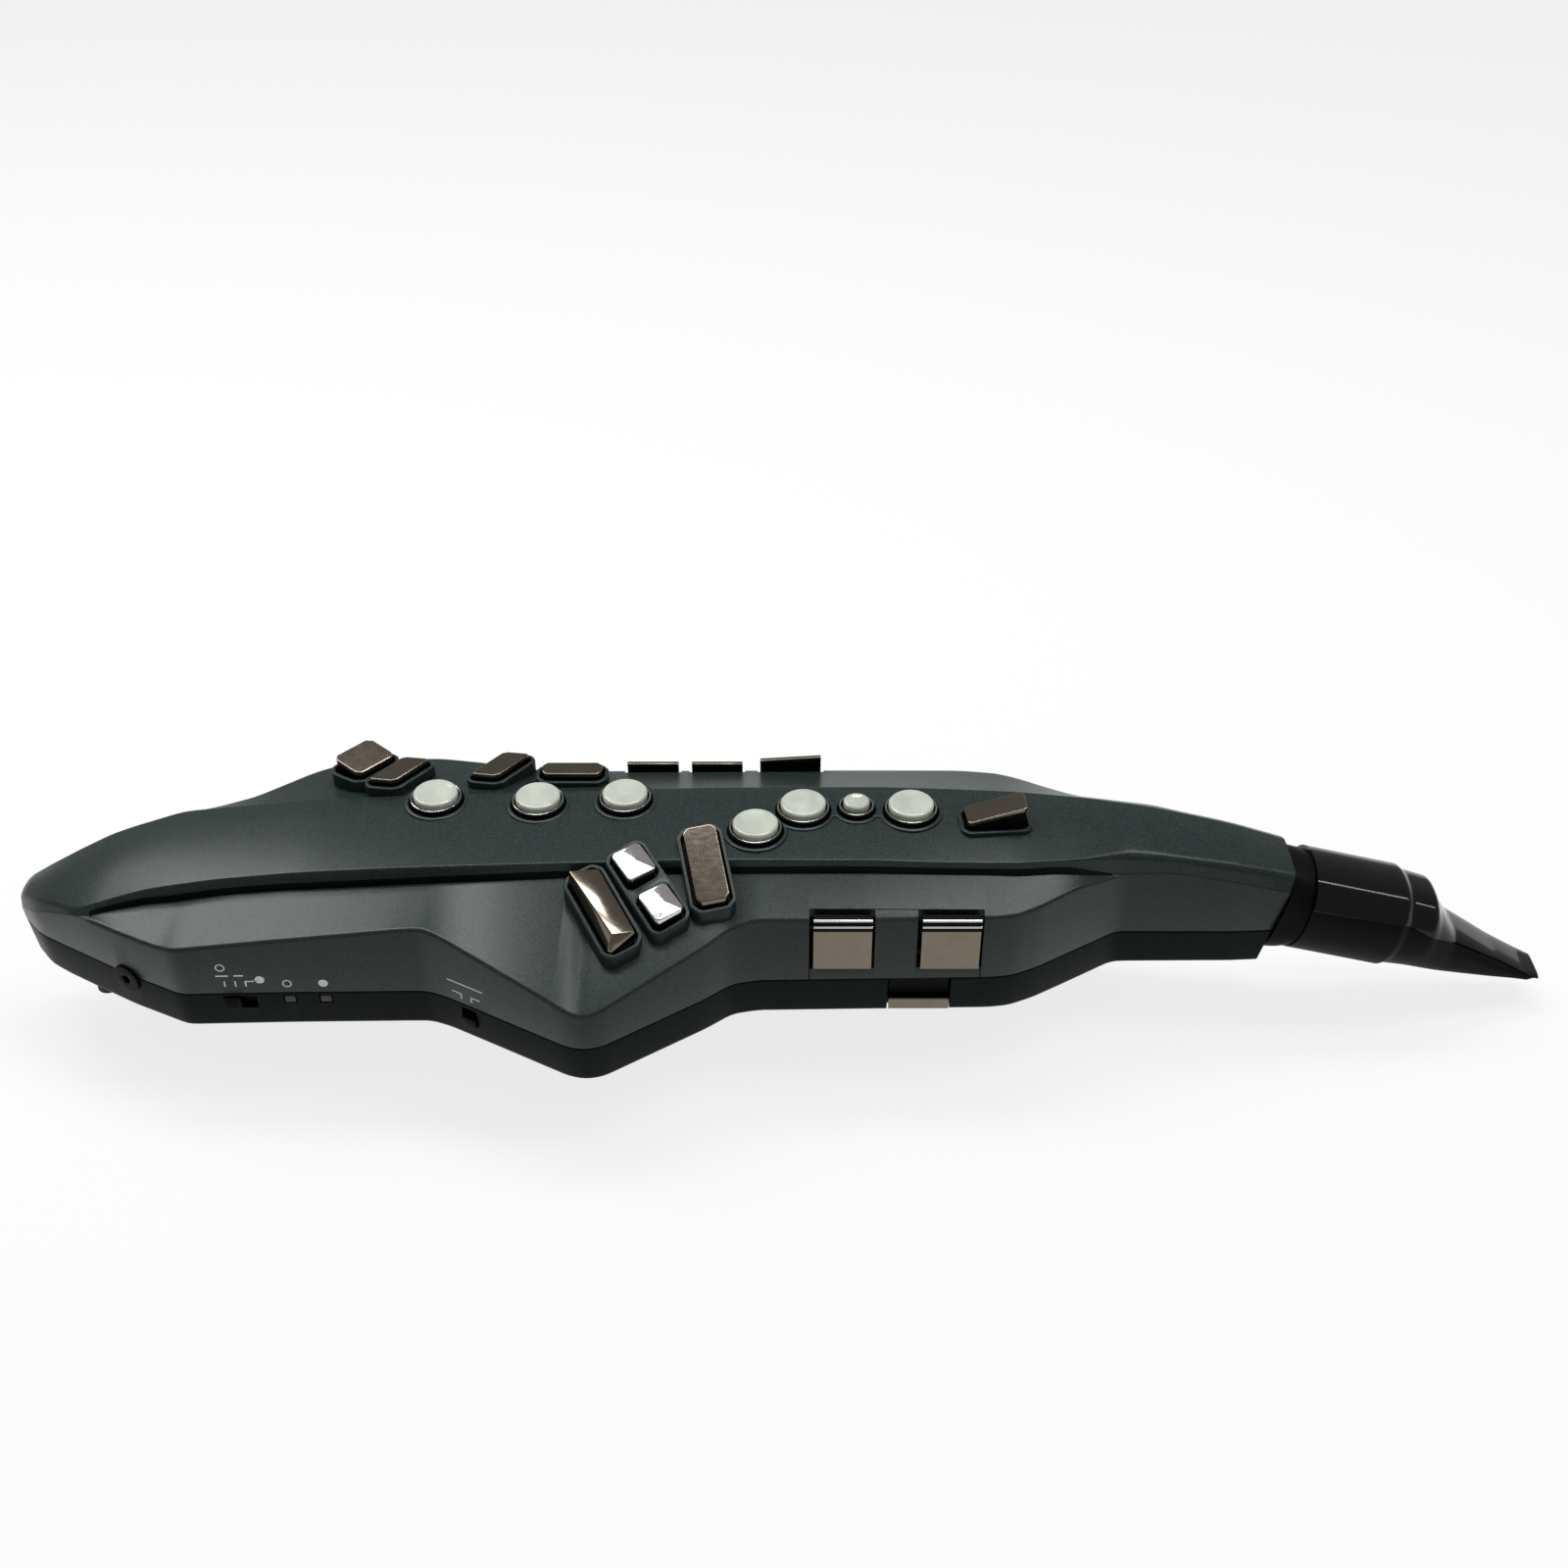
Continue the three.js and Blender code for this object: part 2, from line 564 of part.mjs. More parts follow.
const plateKeys = [
  {
    name: "little_finger_key_ridged",
    place: longPlace,
    length: longKeyLength,
    width: longKeyWidth,
    cut: plateCut,
    rim: clusterRim,
    top: ridgeTop,
  },
  {
    name: "little_finger_key_small_upper",
    place: smallPlace(-smallAlong),
    length: smallKeyLength,
    width: smallKeyWidth,
    cut: slantCut,
    rim: clusterRim,
    top: smallTop(smallPlace(-smallAlong)),
    bright: true,
  },
  {
    name: "little_finger_key_small_lower",
    place: smallPlace(smallAlong),
    length: smallKeyLength,
    width: smallKeyWidth,
    cut: slantCut,
    rim: clusterRim,
    top: smallTop(smallPlace(smallAlong)),
    bright: true,
  },
  {
    name: "little_finger_key_flat",
    place: { ...clusterPlace(flatKeyShift, flatAcross), angle: flatKeyAngle },
    length: flatKeyLength,
    width: flatKeyWidth,
    cut: plateCut,
    rim: clusterRim,
  },
  {
    name: "front_lever_key",
    place: leverPlace,
    length: leverLength,
    width: leverWidth,
    cut: leverCut,
    rim: level(leverRim),
    top: (x) => leverRim + leverRise + leverClimb * (x - leverPlace.x + leverLength / 2),
    rimWidth: leverLip,
  },
  {
    name: "right_side_key_tall",
    place: tallPlace,
    length: tallLength,
    width: tallWidth,
    cut: plateCut,
    lean: tallLean,
    rim: farRim,
    top: tallTop,
  },
  {
    name: "right_side_key_slanted_1",
    place: slantFirst,
    length: slantLength,
    width: slantWidth,
    cut: slantCut,
    lean: slantLean,
    rim: farRim,
  },
  {
    name: "right_side_key_slanted_2",
    place: slantSecond,
    length: slantLength,
    width: slantWidth,
    cut: slantCut,
    lean: slantLean,
    rim: farRim,
  },
  {
    name: "right_side_key_level",
    place: sideLevel,
    length: sideLevelLength,
    width: sideLevelWidth,
    cut: plateCut,
    rim: farRim,
  },
];

// A plate's outline in its place; ends that lean run back as they go across.
function plateOutline({ place, length, width, cut, lean = 0 }) {
  return placed(cutRectangle(length, width, cut).map(([u, v]) => [u - lean * v, v]), place);
}

function plateKey(key) {
  const { place, rim, top } = key;
  const outline = plateOutline(key);
  const topAt = top ?? ((x, y) => rim(x, y) + keyRise);
  const foot = (x, y) => rim(x, y) - keySkirt;
  const plate = prism(outline, foot, topAt, keyEdge);
  const skirt = prism(inset(outline, keyGap - plateGap), foot, (x, y) => rim(x, y) - skirtDrop);
  const stem = post(place.x, place.y, stemFoot, rim(place.x, place.y), stemRadius, bossSides);
  return plate.add(skirt).add(stem);
}
const stemRadius = 2.2;

// The board under the keys, which their stems press, and the posts of the upper shell that hold it.
const boardThickness = 1.6;
const keyBoardTop = aboveBase(0.567);
const keyBoardFoot = keyBoardTop - boardThickness;
const stemFoot = keyBoardTop + keyTravel + keyGap;
const keyBoardShares = [
  [0.233, -0.19], [0.396, -0.19], [0.443, -0.56], [0.494, -0.59], [0.566, -0.34], [0.816, -0.11],
  [0.816, 0.38], [0.756, 0.7], [0.33, 0.78], [0.31, 0.86], [0.233, 0.82],
];
const keyBoardOutline = keyBoardShares.map(([along, across]) => [alongBody(along), acrossBody(across)]);
const keyBoardPostShares = [[0.25, 0.2], [0.375, 0.12], [0.52, 0.42], [0.66, 0.46], [0.79, 0.05]];
const boardPostRadius = 3;

function keyBoardPost([along, across]) {
  const x = alongBody(along);
  const roof = spineAt(x) - caseWall / 2;
  const low = keyBoardTop + seamGap;
  return post(x, acrossBody(across), low, roof, boardPostRadius, bossSides);
}

const rimOf = (key) => {
  const around = key.rimWidth ?? rimWidth;
  const depth = keySkirt + caseWall;
  return prism(inset(plateOutline(key), -plateGap - around), (x, y) => key.rim(x, y) - depth, key.rim);
};
const smallPairRim = {
  place: pairPlace,
  length: 2 * smallKeyLength + smallKeyLand,
  width: smallKeyWidth,
  cut: plateCut,
  rim: clusterRim,
};
const wellDepth = 12; // from the rim of a plate's well to where it opens into the shell
const wellOf = (key) =>
  prism(
    inset(plateOutline(key), -plateGap),
    (x, y) => key.rim(x, y) - wellDepth,
    (x, y) => key.rim(x, y) + cutReach,
  );
for (const key of plateKeys) {
  addPiece(key.name, plateKey(key), key.bright ? brightChrome : darkNickel, keys);
}

// Left-hand side of the body: the wall runs slanted along its length, so what is set in it is made
// on a straight wall whose outside is y = 0, and turned to its place.
const reachShare = 0.004; // to both sides of a place on the wall, for the wall's angle there
function wallFrame(share) {
  const low = acrossBody(lineAt(nearWallShares, share - reachShare));
  const high = acrossBody(lineAt(nearWallShares, share + reachShare));
  const run = 2 * reachShare * bodyLength;
  return { x: alongBody(share), y: (low + high) / 2, angle: Math.atan2(high - low, run) };
}
function onWall(geometry, share) {
  const { x, y, angle } = wallFrame(share);
  return solidOf(geometry.rotateZ(angle).translate(x, y, 0));
}
function wallBlock(share, low, high) {
  const size = new THREE.Vector3().subVectors(high, low);
  const middle = new THREE.Vector3().addVectors(low, high).multiplyScalar(0.5);
  return onWall(new THREE.BoxGeometry(...size).translate(...middle), share);
}

// Profiles drawn from the side, as [x, z] points, and from the end, as [y, z] points.
function shapeOf(points) {
  return new THREE.Shape(points.map(([a, b]) => new THREE.Vector2(a, b)));
}
function sideProfile(points, near, far) {
  const geometry = new THREE.ExtrudeGeometry(shapeOf(points), { depth: far - near, bevelEnabled: false });
  return geometry.rotateX(Math.PI / 2).translate(0, far, 0);
}
function endProfile(points, low, high) {
  const geometry = new THREE.ExtrudeGeometry(shapeOf(points), { depth: high - low, bevelEnabled: false });
  return geometry.rotateX(Math.PI / 2).rotateZ(Math.PI / 2).translate(low, 0, 0);
}

// The neck ends square to the mouthpiece, which slopes down.
const neckPoint = corner(
  neckEndX - barrelRadius * Math.sin(mouthpieceTilt),
  acrossBody(0.183),
  aboveBase(0.395),
);
mouthpieceGroup.position.copy(neckPoint);
mouthpieceGroup.rotation.y = mouthpieceTilt;
const beyondNeck = solidOf(
  new THREE.BoxGeometry(bodyLength, bodyLength, bodyLength)
    .translate(bodyLength / 2, 0, 0)
    .rotateY(mouthpieceTilt)
    .translate(neckPoint.x, neckPoint.y, neckPoint.z),
);

// Upper shell, with raised rims round its keys and wells through it.
const lastShare = stationShares[stationShares.length - 1];
const hollowShare = 0.021;
let upperShell = bodyLoft(upperOutline, 0, lastShare);
for (const lip of roundLips) upperShell = upperShell.add(lip);
for (const key of plateKeys) upperShell = upperShell.add(rimOf(key));
upperShell = upperShell.add(rimOf(smallPairRim));
upperShell = upperShell.subtract(bodyLoft(upperHollow, hollowShare, lastShare));
upperShell = upperShell.subtract(beyondNeck);
for (const well of roundWells) upperShell = upperShell.subtract(well);
for (const key of plateKeys) upperShell = upperShell.subtract(wellOf(key));

// Side keys stand in notches of the right edge, with a gap at both ends of each.
const sideNotchDepth = 2.8;
const sideKeyThickness = 1.7;
const sideKeyProud = 0.7;
const sideKeyRise = 3.2;
const sideKeyFoot = aboveBase(0.45);
const sideKeyGap = 1;
const sideKeyStem = 7;
const sideStemFoot = aboveBase(0.6);
const sideStemTop = aboveBase(0.68);
const sideKeyShares = [[0.4763, 0.518], [0.5285, 0.57], [0.5842, 0.6335]];
const sideWall = acrossBody(lineAt(farWallShares, 0.53));
const sideEdge = stationAt(0.53).farEdge;
sideKeyShares.forEach(([lowShare, highShare], i) => {
  const [low, high] = [alongBody(lowShare), alongBody(highShare)];
  const face = sideWall + sideKeyProud;
  const back = face - sideKeyThickness;
  const climb = i === sideKeyShares.length - 1 ? sideKeyRise : 0;
  const top = sideEdge + sideKeyRise;
  const plate = sideProfile(
    [[low, sideKeyFoot], [high, sideKeyFoot], [high, top + climb / 2], [low, top + climb / 4]],
    back,
    face,
  );
  const middle = (low + high) / 2;
  const stem = block(
    corner(middle - sideKeyStem / 2, back - sideKeyStem, sideStemFoot),
    corner(middle + sideKeyStem / 2, back + sideKeyThickness / 2, sideStemTop),
  );
  addPiece(`right_edge_key_${i + 1}`, solidOf(plate).add(stem), darkNickel, keys);
  upperShell = upperShell.subtract(
    block(
      corner(low - sideKeyGap, sideWall - sideNotchDepth, sideKeyFoot - keyGap),
      corner(high + sideKeyGap, sideWall + cutReach, sideEdge + cutReach),
    ),
  );
});

// Palm keys: a separate panel set in the left wall, with a plate at each end that rolls outwards over
// the edge, and a third plate below the seam.
const panelLowShare = 0.6231;
const panelHighShare = 0.7525;
const palmKeyShares = [[0.6256, 0.6695], [0.7068, 0.7508]];
const panelDepth = 3.1;
const palmKeyProud = 1.1;
const palmKeyFoot = aboveBase(0.377);
const palmRollFoot = aboveBase(0.695);
const palmKeyTop = aboveBase(0.79);
const palmRoll = 1.5;
const palmKeyThickness = 2.5;
const panelWall = acrossBody(lineAt(nearWallShares, 0.69));
const panelTop = palmKeyTop + panelDepth;
const panelLow = alongBody(panelLowShare);
const panelHigh = alongBody(panelHighShare);
const palmNotchGap = 1; // between a palm plate and the middle of the panel
const panelRegion = block(
  corner(panelLow, panelWall - cutReach, seamZ + seamGap / 2),
  corner(panelHigh, panelWall + panelDepth, panelTop),
);
const panelCut = block(
  corner(panelLow - partGap, panelWall - cutReach, bodyBase),
  corner(panelHigh + partGap, panelWall + panelDepth + partGap, panelTop),
);
let palmPanel = upperShell.intersect(panelRegion);
upperShell = upperShell.subtract(panelCut);
palmKeyShares.forEach(([lowShare, highShare], i) => {
  const [low, high] = [alongBody(lowShare), alongBody(highShare)];
  const face = panelWall - palmKeyProud;
  const back = face + palmKeyThickness;
  const plate = endProfile(
    [
      [back, palmKeyFoot],
      [back, palmKeyTop],
      [face - palmRoll / 2, palmKeyTop],
      [face - palmRoll, palmKeyTop - palmRoll],
      [face - palmRoll, palmRollFoot + palmRoll],
      [face, palmRollFoot],
      [face, palmKeyFoot],
    ],
    low,
    high,
  );
  addPiece(`palm_key_${i + 1}`, plate, darkNickel, keys);
  palmPanel = palmPanel.subtract(
    block(
      corner(i ? low - palmNotchGap : panelLow - partGap, panelWall - cutReach, palmKeyFoot - keyGap),
      corner(i ? panelHigh + partGap : high + palmNotchGap, panelWall + cutReach, panelTop + cutReach),
    ),
  );
});
addPiece("palm_key_panel", palmPanel, graphitePaint);

// Lower shell.
let lowerShell = bodyLoft((share) => lowerOutline(share, 0), 0, lastShare);
lowerShell = lowerShell.subtract(
  bodyLoft((share) => lowerOutline(share, caseWall), hollowShare, lastShare),
);
const floorTop = bellyZ + caseWall;
const midline = acrossBody(0.18);

// The third palm key leans out of a recess in the lower shell's wall, open at the bottom.
const lowPalmShares = [0.6838, 0.7301];
const lowPalmFaceTop = aboveBase(0.105);
const lowPalmBackTop = aboveBase(0.25);
const lowPalmSetback = 3;
const lowPalmBack = 1.8;
const [lowPalmStart, lowPalmEnd] = lowPalmShares.map(alongBody);
const lowPalmFace = panelWall - sideKeyProud;
addPiece(
  "palm_key_low",
  endProfile(
    [
      [lowPalmFace, bodyBase + partGap],
      [lowPalmFace + lowPalmSetback + lowPalmBack, bodyBase + partGap],
      [lowPalmFace + lowPalmSetback + lowPalmBack, lowPalmBackTop],
      [lowPalmFace + lowPalmSetback, lowPalmBackTop],
      [lowPalmFace + lowPalmSetback, lowPalmFaceTop + keyEdge],
      [lowPalmFace, lowPalmFaceTop],
    ],
    lowPalmStart,
    lowPalmEnd,
  ),
  brightChrome,
  keys,
);
lowerShell = lowerShell.subtract(
  block(
    corner(lowPalmStart - keyGap, panelWall - cutReach, bellyZ - cutReach),
    corner(lowPalmEnd + keyGap, lowPalmFace + lowPalmSetback + lowPalmBack + keyTravel + keyGap, seamZ + cutReach),
  ),
);

// Power and bite switches: each has a knob in a slot and a wider slider behind the wall.
const powerShare = 0.1917;
const powerSlotLength = 12;
const powerSlotFoot = aboveBase(0.147);
const powerSlotTop = aboveBase(0.252);
const biteShare = 0.367;
const biteSlotLength = 6.8;
const biteSlotFoot = aboveBase(0.107);
const biteSlotTop = aboveBase(0.245);
const knobProud = 1.2;
const knobShare = 0.5; // length of a knob as a share of its slot's
const sliderThickness = 1.6;
const sliderOverlap = 1.4;
function slotCut(share, length, low, high) {
  return wallBlock(share, corner(-length / 2, -cutReach, low), corner(length / 2, cutReach / 4, high));
}
function sliderBehind(share, length, low, high) {
  const inner = caseWall + partGap;
  return wallBlock(
    share,
    corner(-length / 2 - sliderOverlap, inner, low - sliderOverlap),
    corner(length / 2 + sliderOverlap, inner + sliderThickness, high + sliderOverlap),
  );
}
const powerKnobEnd = -powerSlotLength / 2 + partGap + knobShare * powerSlotLength;
addPiece(
  "power_switch",
  wallBlock(
    powerShare,
    corner(-powerSlotLength / 2 + partGap, -knobProud, powerSlotFoot + partGap),
    corner(powerKnobEnd, caseWall + partGap + sliderThickness / 2, powerSlotTop - partGap),
  ).add(sliderBehind(powerShare, powerSlotLength, powerSlotFoot, powerSlotTop)),
  satinBlack,
);
const biteKnobTop = biteSlotFoot + partGap + knobShare * (biteSlotTop - biteSlotFoot);
addPiece(
  "bite_switch",
  wallBlock(
    biteShare,
    corner(-biteSlotLength / 2 + partGap, -knobProud, biteSlotFoot + partGap),
    corner(biteSlotLength / 2 - partGap, caseWall + partGap + sliderThickness / 2, biteKnobTop),
  ).add(sliderBehind(biteShare, biteSlotLength, biteSlotFoot, biteSlotTop)),
  satinBlack,
);
lowerShell = lowerShell.subtract(slotCut(powerShare, powerSlotLength, powerSlotFoot, powerSlotTop));
lowerShell = lowerShell.subtract(slotCut(biteShare, biteSlotLength, biteSlotFoot, biteSlotTop));

// Two small lamp windows under the seam.
const lensLength = 4.5;
const lensFoot = aboveBase(0.183);
const lensTop = aboveBase(0.249);
const lensShares = { power_lamp_lens: 0.2293, link_lamp_lens: 0.2564 };
for (const [name, share] of Object.entries(lensShares)) {
  const lens = wallBlock(
    share,
    corner(-lensLength / 2 + partGap, 0, lensFoot + partGap),
    corner(lensLength / 2 - partGap, caseWall, lensTop - partGap),
  );
  addPiece(name, lens, smokedLens);
  lowerShell = lowerShell.subtract(slotCut(share, lensLength, lensFoot, lensTop));
}

// Headphone socket: a ring with a bore, through the slanted wall of the bell end across the seam.
const jackShare = 0.1011;
const jackHeight = aboveBase(0.235);
const jackRing = 5.8;
const jackBody = 4.6;
const jackBore = 1.8;
const jackProud = 0.9;
const jackDepth = 12;
const jackBoreDepth = 9;
function jackTurned(profile) {
  return turned(profile, roundSides).rotateX(Math.PI / 2).translate(0, 0, jackHeight);
}
addPiece(
  "headphone_socket",
  onWall(
    jackTurned([
      [0, -jackDepth],
      [jackBody, -jackDepth],
      [jackBody, partGap],
      [jackRing, partGap],
      [jackRing, jackProud + partGap],
      [jackBore, jackProud + partGap],
      [jackBore, jackProud - jackBoreDepth],
      [0, jackProud - jackBoreDepth],
    ]),
    jackShare,
  ),
  glossBlack,
);
const jackHole = onWall(
  jackTurned([[0, -jackDepth], [jackBody + partGap, -jackDepth], [jackBody + partGap, cutReach], [0, cutReach]]),
  jackShare,
);
upperShell = upperShell.subtract(jackHole);
lowerShell = lowerShell.subtract(jackHole);

// Speaker on the floor of the bell end, behind slots.
const speakerShare = 0.142;
const speakerRadius = 17.5;
const speakerDepth = 12;
const magnetRadius = 9;
const speakerRim = 1.6;
const speakerAcross = acrossBody(0.1);
addPiece(
  "speaker",
  turned(
    [
      [0, speakerRim],
      [speakerRadius - speakerRim, 0],
      [speakerRadius, 0],
      [speakerRadius, speakerRim],
      [magnetRadius, speakerDepth / 2],
      [magnetRadius, speakerDepth],
      [0, speakerDepth],
    ],
    roundSides,
  ).translate(alongBody(speakerShare), speakerAcross, floorTop + partGap),
  satinBlack,
);
const slotPlaceShares = [-2, -1, 0, 1, 2];
const speakerSlotWidth = 2.2;
const speakerSlotPitch = 5.2;
const speakerSlotLength = 22;
for (const place of slotPlaceShares) {
  const x = alongBody(speakerShare) + place * speakerSlotPitch;
  lowerShell = lowerShell.subtract(
    block(
      corner(x - speakerSlotWidth / 2, speakerAcross - speakerSlotLength / 2, bellyZ - cutReach),
      corner(x + speakerSlotWidth / 2, speakerAcross + speakerSlotLength / 2, floorTop + speakerRim),
    ),
  );
}

// What is set through the flat of the belly: each piece is an upright prism in a hole of its outline.
function bellyPiece({ share, across = midline, length, width, cut = plateCut, gap = partGap, drop, rise, flange = 0 }) {
  const place = { x: alongBody(share), y: across, angle: 0 };
  const outline = placed(cutRectangle(length, width, cut), place);
  lowerShell = lowerShell.subtract(prism(inset(outline, -gap), level(bellyZ - cutReach), level(floorTop + seamGap / 2)));
  const body = prism(outline, level(bellyZ - drop), level(bellyZ + rise));
  if (!flange) return body;
  return body.add(prism(inset(outline, -flange), level(floorTop + partGap), level(floorTop + partGap + caseWall)));
}

// Battery cover, flush with the belly and sized for the cells above it, and the bay over them.
const cellRadius = 7.25;
const cellLength = 50.5;
const cellPlaceShares = [-1.5, -0.5, 0.5, 1.5];
const cellPitch = 14.45;
const bayShare = 0.275;
const bayRoom = 1.2;
const bayLength = (cellPlaceShares.length - 1) * cellPitch + 2 * cellRadius + 2 * bayRoom;
const bayWidth = cellLength + 2 * bayRoom;
const bayFoot = floorTop + partGap;
const bayTop = bayFoot + 2 * cellRadius + bayRoom;
function bayBlock(margin, low, high) {
  const x = alongBody(bayShare);
  return block(
    corner(x - bayLength / 2 - margin, midline - bayWidth / 2 - margin, low),
    corner(x + bayLength / 2 + margin, midline + bayWidth / 2 + margin, high),
  );
}
lowerShell = lowerShell.add(bayBlock(caseWall, bellyZ + caseWall / 2, bayTop + caseWall));
lowerShell = lowerShell.subtract(bayBlock(0, bellyZ - cutReach, bayTop));
addPiece(
  "battery_cover",
  bellyPiece({ share: bayShare, length: bayLength - 2 * partGap, width: bayWidth - 2 * partGap, drop: 0, rise: caseWall - partGap }),
  graphitePaint,
);
function cellAt(place) {
  const profile = [[0, -cellLength / 2], [cellRadius, -cellLength / 2], [cellRadius, cellLength / 2], [0, cellLength / 2]];
  const cell = turned(profile, roundSides).rotateX(Math.PI / 2);
  return solidOf(cell.translate(alongBody(bayShare) + place * cellPitch, midline, bayFoot + cellRadius));
}
const cells = cellPlaceShares.map(cellAt).reduce((all, cell) => all.add(cell));
addPiece("battery_cells", cells, paleWrap);

// Display and its three buttons.
const displayLength = 27;
const displayWidth = 15;
const buttonLength = 6;
const buttonDrop = 0.8;
const buttonRise = 5;
const flangeWidth = 1.1;
addPiece(
  "display_window",
  bellyPiece({ share: 0.57, length: displayLength, width: displayWidth, drop: 0, rise: caseWall }),
  smokedLens,
);
const buttonShares = [0.613, 0.633, 0.653];
buttonShares.forEach((share, i) => {
  const shape = { length: buttonLength, width: buttonLength, drop: buttonDrop, rise: buttonRise };
  const button = bellyPiece({ share, ...shape, flange: flangeWidth, gap: keyGap });
  addPiece(`panel_button_${i + 1}`, button, satinBlack);
});

// Left thumb: a soft rest between two octave plates.
const octaveLength = 14;
const octaveWidth = 19;
const thumbRestLength = 15;
const thumbRestWidth = 24;
const thumbRestDrop = 1.6;
const octaveDrop = 2.4;
const octaveRise = 6;
const octaveShares = { octave_key_up: 0.685, octave_key_down: 0.765 };
for (const [name, share] of Object.entries(octaveShares)) {
  const shape = { length: octaveLength, width: octaveWidth, drop: octaveDrop, rise: octaveRise };
  addPiece(name, bellyPiece({ share, ...shape, flange: flangeWidth, gap: keyGap }), darkNickel, keys);
}
addPiece(
  "thumb_rest",
  bellyPiece({ share: 0.725, length: thumbRestLength, width: thumbRestWidth, drop: thumbRestDrop, rise: caseWall }),
  softRubber,
);

// Right thumb: a hook that the instrument hangs and rests on, and a rocker plate before it.
const hookShare = 0.445;
const hookWidth = 27;
const hookPad = 20;
const hookArm = 5;
const hookFootLength = 22;
const hookThickness = 3.6;
const hookBend = 2.4;
const hookPlug = 6; // depth of the hook's root through the floor
const hookX = alongBody(hookShare);
const hookArmX = hookX + hookPad / 2 - hookArm;
const hookProfile = [
  [hookArmX, bellyZ + hookPlug],
  [hookArmX, hookThickness + hookBend],
  [hookArmX - hookBend, hookThickness],
  [hookArmX + hookArm - hookFootLength, hookThickness],
  [hookArmX + hookArm - hookFootLength - hookBend / 2, hookThickness / 2],
  [hookArmX + hookArm - hookFootLength, 0],
  [hookArmX + hookArm - hookBend, 0],
  [hookArmX + hookArm, hookBend],
  [hookArmX + hookArm, bellyZ + hookPlug],
];
const hookNear = midline - hookWidth / 2;
const hookFar = midline + hookWidth / 2;
const hookPadBlock = block(
  corner(hookX - hookPad / 2, hookNear, bellyZ - partGap - caseWall),
  corner(hookX + hookPad / 2, hookFar, bellyZ - partGap),
);
const hookFlange = block(
  corner(hookArmX - hookArm, hookNear + hookArm, floorTop + partGap),
  corner(hookArmX + 2 * hookArm, hookFar - hookArm, floorTop + partGap + caseWall),
);
const hookBar = solidOf(sideProfile(hookProfile, hookNear, hookFar));
const hookRootTrim = block(
  corner(hookArmX - hookArm, hookNear - hookArm, bellyZ - partGap),
  corner(hookArmX + 2 * hookArm, hookNear + hookArm, bellyZ + cutReach),
);
const hookRootTrimFar = hookRootTrim.translate([0, hookFar - hookNear, 0]);
addPiece(
  "thumb_hook",
  hookBar.subtract(hookRootTrim).subtract(hookRootTrimFar).add(hookPadBlock).add(hookFlange),
  satinBlack,
);
lowerShell = lowerShell.subtract(
  block(
    corner(hookArmX - partGap, hookNear + hookArm - partGap, bellyZ - cutReach),
    corner(hookArmX + hookArm + partGap, hookFar - hookArm + partGap, floorTop + seamGap / 2),
  ),
);

const rockerShare = 0.388;
const rockerLength = 15;
const rockerWidth = 18;
const rockerGap = 1;
const rockerDrop = 2.2;
const rockerRise = 5;
const rockerSize = { length: rockerLength, width: rockerWidth, drop: rockerDrop, rise: rockerRise };
addPiece("bend_rocker", bellyPiece({ share: rockerShare, ...rockerSize, gap: rockerGap }), satinBlack, keys);

// Strap eye behind the hook, with a ring through it.
const eyeShare = 0.492;
const eyeLength = 9;
const eyeThickness = 4;
const eyeDrop = 8.4;
const eyeHole = 2.3;
const eyePlug = 5;
const ringRadius = 5.6;
const ringWire = 1.1;
const eyeX = alongBody(eyeShare);
const eyeHoleZ = bellyZ - eyeDrop + eyeHole + ringWire + partGap;
const eyeOutline = [
  [eyeX - eyeLength / 2, bellyZ - partGap],
  [eyeX - eyeHole - ringWire, bellyZ - eyeDrop],
  [eyeX + eyeHole + ringWire, bellyZ - eyeDrop],
  [eyeX + eyeLength / 2, bellyZ - partGap],
  [eyeX + eyeLength / 4, bellyZ - partGap],
  [eyeX + eyeLength / 4, bellyZ + eyePlug],
  [eyeX - eyeLength / 4, bellyZ + eyePlug],
  [eyeX - eyeLength / 4, bellyZ - partGap],
];
const eyeBore = solidOf(
  turned([[0, -eyeLength], [eyeHole, -eyeLength], [eyeHole, eyeLength], [0, eyeLength]], bossSides)
    .rotateX(Math.PI / 2)
    .translate(eyeX, midline, eyeHoleZ),
);
addPiece(
  "strap_bracket",
  solidOf(sideProfile(eyeOutline, midline - eyeThickness / 2, midline + eyeThickness / 2)).subtract(eyeBore),
  plainSteel,
);
lowerShell = lowerShell.subtract(
  block(
    corner(eyeX - eyeLength / 4 - partGap, midline - eyeThickness / 2 - partGap, bellyZ - cutReach),
    corner(eyeX + eyeLength / 4 + partGap, midline + eyeThickness / 2 + partGap, floorTop + seamGap / 2),
  ),
);
addPiece(
  "strap_ring",
  new THREE.TorusGeometry(ringRadius, ringWire, wireSides, roundSides)
    .rotateY(Math.PI / 2)
    .translate(eyeX, midline, eyeHoleZ - ringRadius),
  plainSteel,
);

// Two rubber feet under the bell.
const footRadius = 4.2;
const footDrop = 4;
const footRise = 3.6;
const footPlaceShares = [[0.0657, -0.1], [0.1025, -0.2]];
footPlaceShares.forEach(([along, across], i) => {
  const [x, y] = [alongBody(along), acrossBody(across)];
  addPiece(`bell_foot_${i + 1}`, post(x, y, bellyZ - footDrop, bellyZ + footRise, footRadius), softRubber);
  lowerShell = lowerShell.subtract(post(x, y, bellyZ - cutReach, floorTop + footRise, footRadius + partGap));
});

